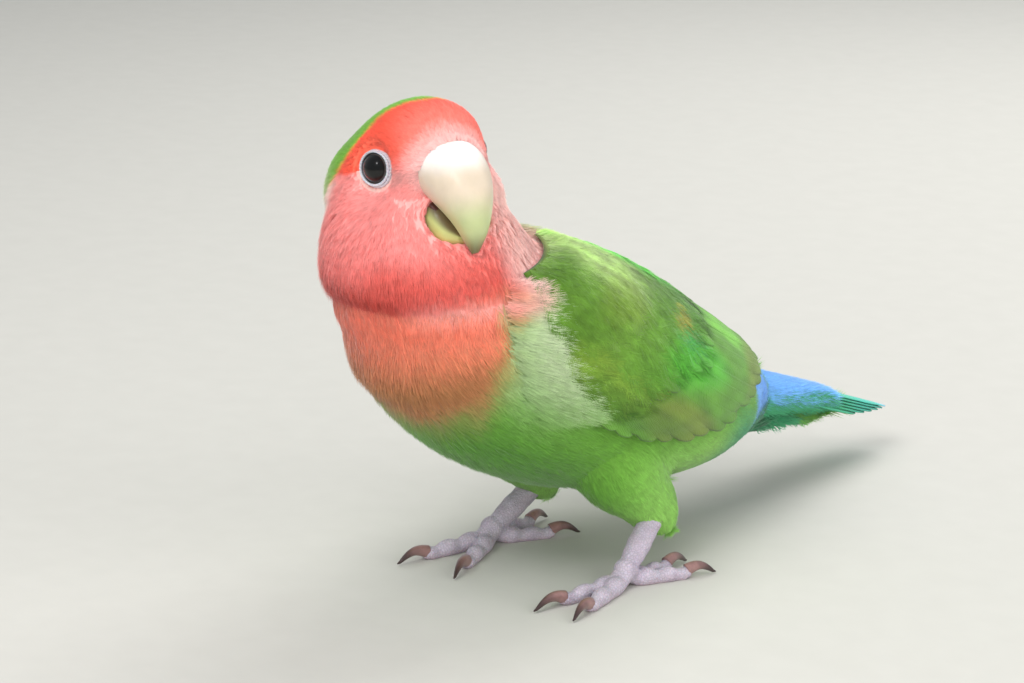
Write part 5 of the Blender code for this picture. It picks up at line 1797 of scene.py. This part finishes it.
def bare_skin_material(name, pebble_mm, depth_mm, roughness):
    material, tree, shader = new_material(name, Roughness=roughness, Subsurface_Weight=0.12,
                                          Subsurface_Scale=0.0006)
    where = add(tree, "ShaderNodeTexCoord")
    pebbles = add(tree, "ShaderNodeTexVoronoi", {"Vector": where.outputs["Object"]},
                  feature="DISTANCE_TO_EDGE", Scale=1 / (pebble_mm * MM))
    gap = add(tree, "ShaderNodeMapRange", {"Value": pebbles.outputs["Distance"]},
              From_Min=0.0, From_Max=0.16, To_Min=0.78, To_Max=1.03)
    patchy = clouds(tree, where, SKIN_CLOUD_MM, 4.0, 0.88, 1.1)
    both = add(tree, "ShaderNodeMath", {0: gap.outputs[0], 1: patchy}, operation="MULTIPLY")
    markings(tree, shader, both.outputs[0])
    flat_top = add(tree, "ShaderNodeMapRange", {"Value": pebbles.outputs["Distance"]},
                   From_Min=0.0, From_Max=0.3)
    bump = add(tree, "ShaderNodeBump", {"Height": flat_top.outputs[0]}, Strength=0.8,
               Distance=depth_mm * MM)
    tree.links.new(bump.outputs[0], shader.inputs["Normal"])
    return material


lid_skin = bare_skin_material("creased_eye_ring_skin", 0.22, 0.04, 0.5)


def eye_ring(side_name):
    sides, steps = 144, 44
    f = np.linspace(0, 1, steps)[:, None]
    a = np.linspace(0, 2 * math.pi, sides, endpoint=False)[None]
    rng = np.random.default_rng(610)
    wander = sum(rng.normal(0, 1.0) * np.sin(k * a + rng.uniform(0, 6.3)) / k for k in range(2, 9))
    folds = 0.07 * np.sin(2 * math.pi * (3.2 * f + 0.10 * wander)) * np.sin(math.pi * f)
    cross = 0.045 * np.sin(38 * a + 3 * wander + 5 * f) * np.sin(math.pi * f)
    ahead = SIDES[side_name] * np.cos(a)
    outer = (RING_OUTER + 0.12 * np.cos(a) ** 2 + 0.40 * np.maximum(0, ahead)
             + 0.22 * np.maximum(0, np.sin(a)) + 0.05 * wander)
    radii = RING_INNER + (outer - RING_INNER) * f + 0.03 * wander * f
    crest = 1.0 + 0.42 * np.sin(math.pi * f ** 0.62) - 0.60 * f ** 2.2
    heights = crest + folds + cross
    rings = lathe(SIDES[side_name], heights, radii, sides)
    under = lathe(SIDES[side_name], heights[::-1] - 0.5, radii[::-1], sides)
    grid = np.vstack([rings, under])
    faces = grid_faces(2 * steps, sides, wrap=True)
    seam = grid_faces(2, sides, wrap=True)
    seam = np.where(seam < sides, seam + (2 * steps - 1) * sides, seam - sides)
    shade = (folds + cross) / 0.07
    colour = mix(EYE_HUES["lid"], EYE_HUES["lid_crease"], 0.75 * ease(-shade, -0.2, 1.0))
    colour = mix(colour, EYE_HUES["lid_pink"], 0.35 * ease(f, 0.55, 1.0) * np.ones_like(a))
    colour = colour * (1 - 0.65 * ease(f, 0.10, 0.0) * np.ones_like(a))[..., None]
    colours = np.vstack([colour.reshape(-1, 3), colour[::-1].reshape(-1, 3)])
    piece = make_mesh("eye_ring_" + side_name, grid.reshape(-1, 3), np.vstack([faces, seam])[:, ::-1],
                      lid_skin, np.clip(colours, 0, 1))
    return keep(piece, "bare_skin", "eyelids_" + side_name)


for side_name in SIDES:
    eye_ring(side_name)

# %% [markdown]
# ## Legs and feet
# The shank and toes are clad in small rounded scales over pads of flesh, two toes forward and
# two back. Each foot is made as overlapping tapered tubes with a swelling at every joint,
# melted into one surface as the skin was, and then finished with a pebbled, lilac-grey skin.

# %% Feet
JOINT_HEIGHT, HEEL, KNUCKLE = 2.9, (-3.0, 13.0, 9.8), 2.2
SHANK_RADII = (1.7, 2.1, 2.0, 2.1, 2.3)
TOES = {                        # length, radius, claw
    "inner_front": (14.8, 1.45, 6.0),
    "outer_front": (14.8, 1.5, 5.6),
    "inner_back": (11.5, 1.35, 4.8),
    "outer_back": (12.0, 1.4, 4.8),
}
TOE_HEADINGS = {                # degrees outward of straight ahead
    "left": {"inner_front": -5.0, "outer_front": 17.0, "inner_back": -178.0, "outer_back": 156.0},
    "right": {"inner_front": -26.0, "outer_front": 9.0, "inner_back": -152.0, "outer_back": 172.0},
}
TOE_SINK = 0.35
FOOT_HUES = hues(**{
    "skin": "#bbb0bd", "pink": "#c3adb8", "joint": "#a192a5", "claw": "#8c6a66", "claw_tip": "#3a2a29",
})


def tube_rings(path, radii, sides=28, flat=1.0):
    path = np.asarray(path, float)
    ahead = unit(np.gradient(path, axis=0))
    across = unit(np.cross(ahead, [0.0, 0.0, 1.0]))
    over = np.cross(across, ahead)
    a = np.linspace(0, 2 * math.pi, sides, endpoint=False)
    return [p + r * (x * np.cos(a)[:, None] + flat * o * np.sin(a)[:, None])
            for p, r, x, o in zip(path, radii, across, over)]


def toe_line(side_name, toe, steps=40):
    length, radius, _ = TOES[toe]
    angle = math.radians(TOE_HEADINGS[side_name][toe])
    way = np.array([SIDES[side_name] * math.sin(angle), -math.cos(angle), 0.0])
    f = np.linspace(0, 1, steps)
    size = radius * (1.15 - 0.32 * f + 0.10 * np.cos(6 * math.pi * f))
    size = size * np.where(f > 0.94, np.sqrt(np.maximum(0.05, 1 - ((f - 0.94) / 0.065) ** 2)), 1)
    rise = size - TOE_SINK
    rise = rise + (JOINT_HEIGHT - rise) * np.maximum(0, 1 - f * 3.2) ** 2
    start = foot_joint(side_name) * [1, 1, 0]
    return start + way * (length * f)[:, None] + np.array([0, 0, 1.0]) * rise[:, None], size, way


def foot_joint(side_name):
    outward, back = FOOT_JOINTS[side_name]
    return np.array([SIDES[side_name] * outward, back, JOINT_HEIGHT])


def ball_rings(centre, radius, count=16, sides=24):
    polar = np.radians(np.linspace(4, 176, count))
    return [ring_at(*(centre + [0, 0, radius * math.cos(p)]), radius * math.sin(p), radius * math.sin(p), sides)
            for p in polar]


pebbled = bare_skin_material("pebbled_leg_skin", 0.52, 0.09, 0.62)


def make_foot(side_name):
    joint = foot_joint(side_name)
    heel = joint + np.array([SIDES[side_name] * HEEL[0], HEEL[1], HEEL[2]])
    f = np.linspace(-0.02, 1.02, 30)
    shank = joint + (heel - joint) * f[:, None]
    girth = np.interp(f, (0.06, 0.3, 0.55, 0.8, 1.08), SHANK_RADII)
    girth = girth * (1 + 0.025 * np.sin(f * 40))
    parts = [closed_tube(tube_rings(shank, girth)), closed_tube(ball_rings(joint, KNUCKLE))]
    for toe in TOES:
        line, size, _ = toe_line(side_name, toe)
        parts.append(closed_tube(tube_rings(line, size)))
    foot = join("leg_" + side_name, parts)
    melt(foot, 0.2, 4)
    low = np.array([v.co.z for v in foot.data.vertices])
    for vertex in foot.data.vertices:
        vertex.co.z = max(vertex.co.z, 0.0)
    co = get_points(foot)
    colour = np.tile(FOOT_HUES["skin"], (len(co), 1))
    colour = mix(colour, FOOT_HUES["pink"], 0.6 * ease(co[:, 2], 1.2, 0.0))
    colour = mix(colour, FOOT_HUES["joint"], 0.35 * ease(ripple(co, 3.0, 81), 0.0, 1.0))
    dress(foot, pebbled, colour)
    print("foot's lowest before its flat, mm:", round(low.min() / MM, 2))
    return keep(foot, "bare_skin", "foot_" + side_name, "shank_" + side_name)


for side_name in SIDES:
    make_foot(side_name)

# %% Claws
CLAW_RADIUS, CLAW_CLOUD_MM = 0.95, 1 / 0.9


def claw_material(name):
    material, tree, shader = new_material(name, Roughness=0.3, Coat_Weight=0.4, Coat_Roughness=0.15)
    where = add(tree, "ShaderNodeTexCoord")
    markings(tree, shader, clouds(tree, where, CLAW_CLOUD_MM, 4.0, 0.8, 1.2))
    return material


claw_horn = claw_material("dark_claw_horn")


def make_claw(side_name, toe):
    length, _, claw = TOES[toe]
    _, _, way = toe_line(side_name, toe)
    f = np.linspace(0, 1, 34)
    start = foot_joint(side_name) * [1, 1, 0] + way * (length - 0.4)
    height = 1.45 + 0.75 * np.sin(math.pi * np.minimum(1, f * 1.1)) - 1.0 * f ** 2
    path = start + way * ((claw + 0.8) * f)[:, None] + np.array([0, 0, 1.0]) * height[:, None]
    radii = CLAW_RADIUS * (1 - f) ** 0.75 + 0.10
    points, faces = closed_tube(tube_rings(path, radii, sides=24, flat=1.1))
    share = np.append(np.repeat(f, 24), [0.0, 1.0])
    colour = mix(FOOT_HUES["claw"], FOOT_HUES["claw_tip"], ease(share, 0.15, 0.85))
    name = side_name + "_" + toe
    nail = make_mesh("nail_" + name, points, faces, claw_horn, colour)
    return keep(nail, "claw_horn", "claw_" + name)


for side_name in SIDES:
    for toe in TOES:
        make_claw(side_name, toe)
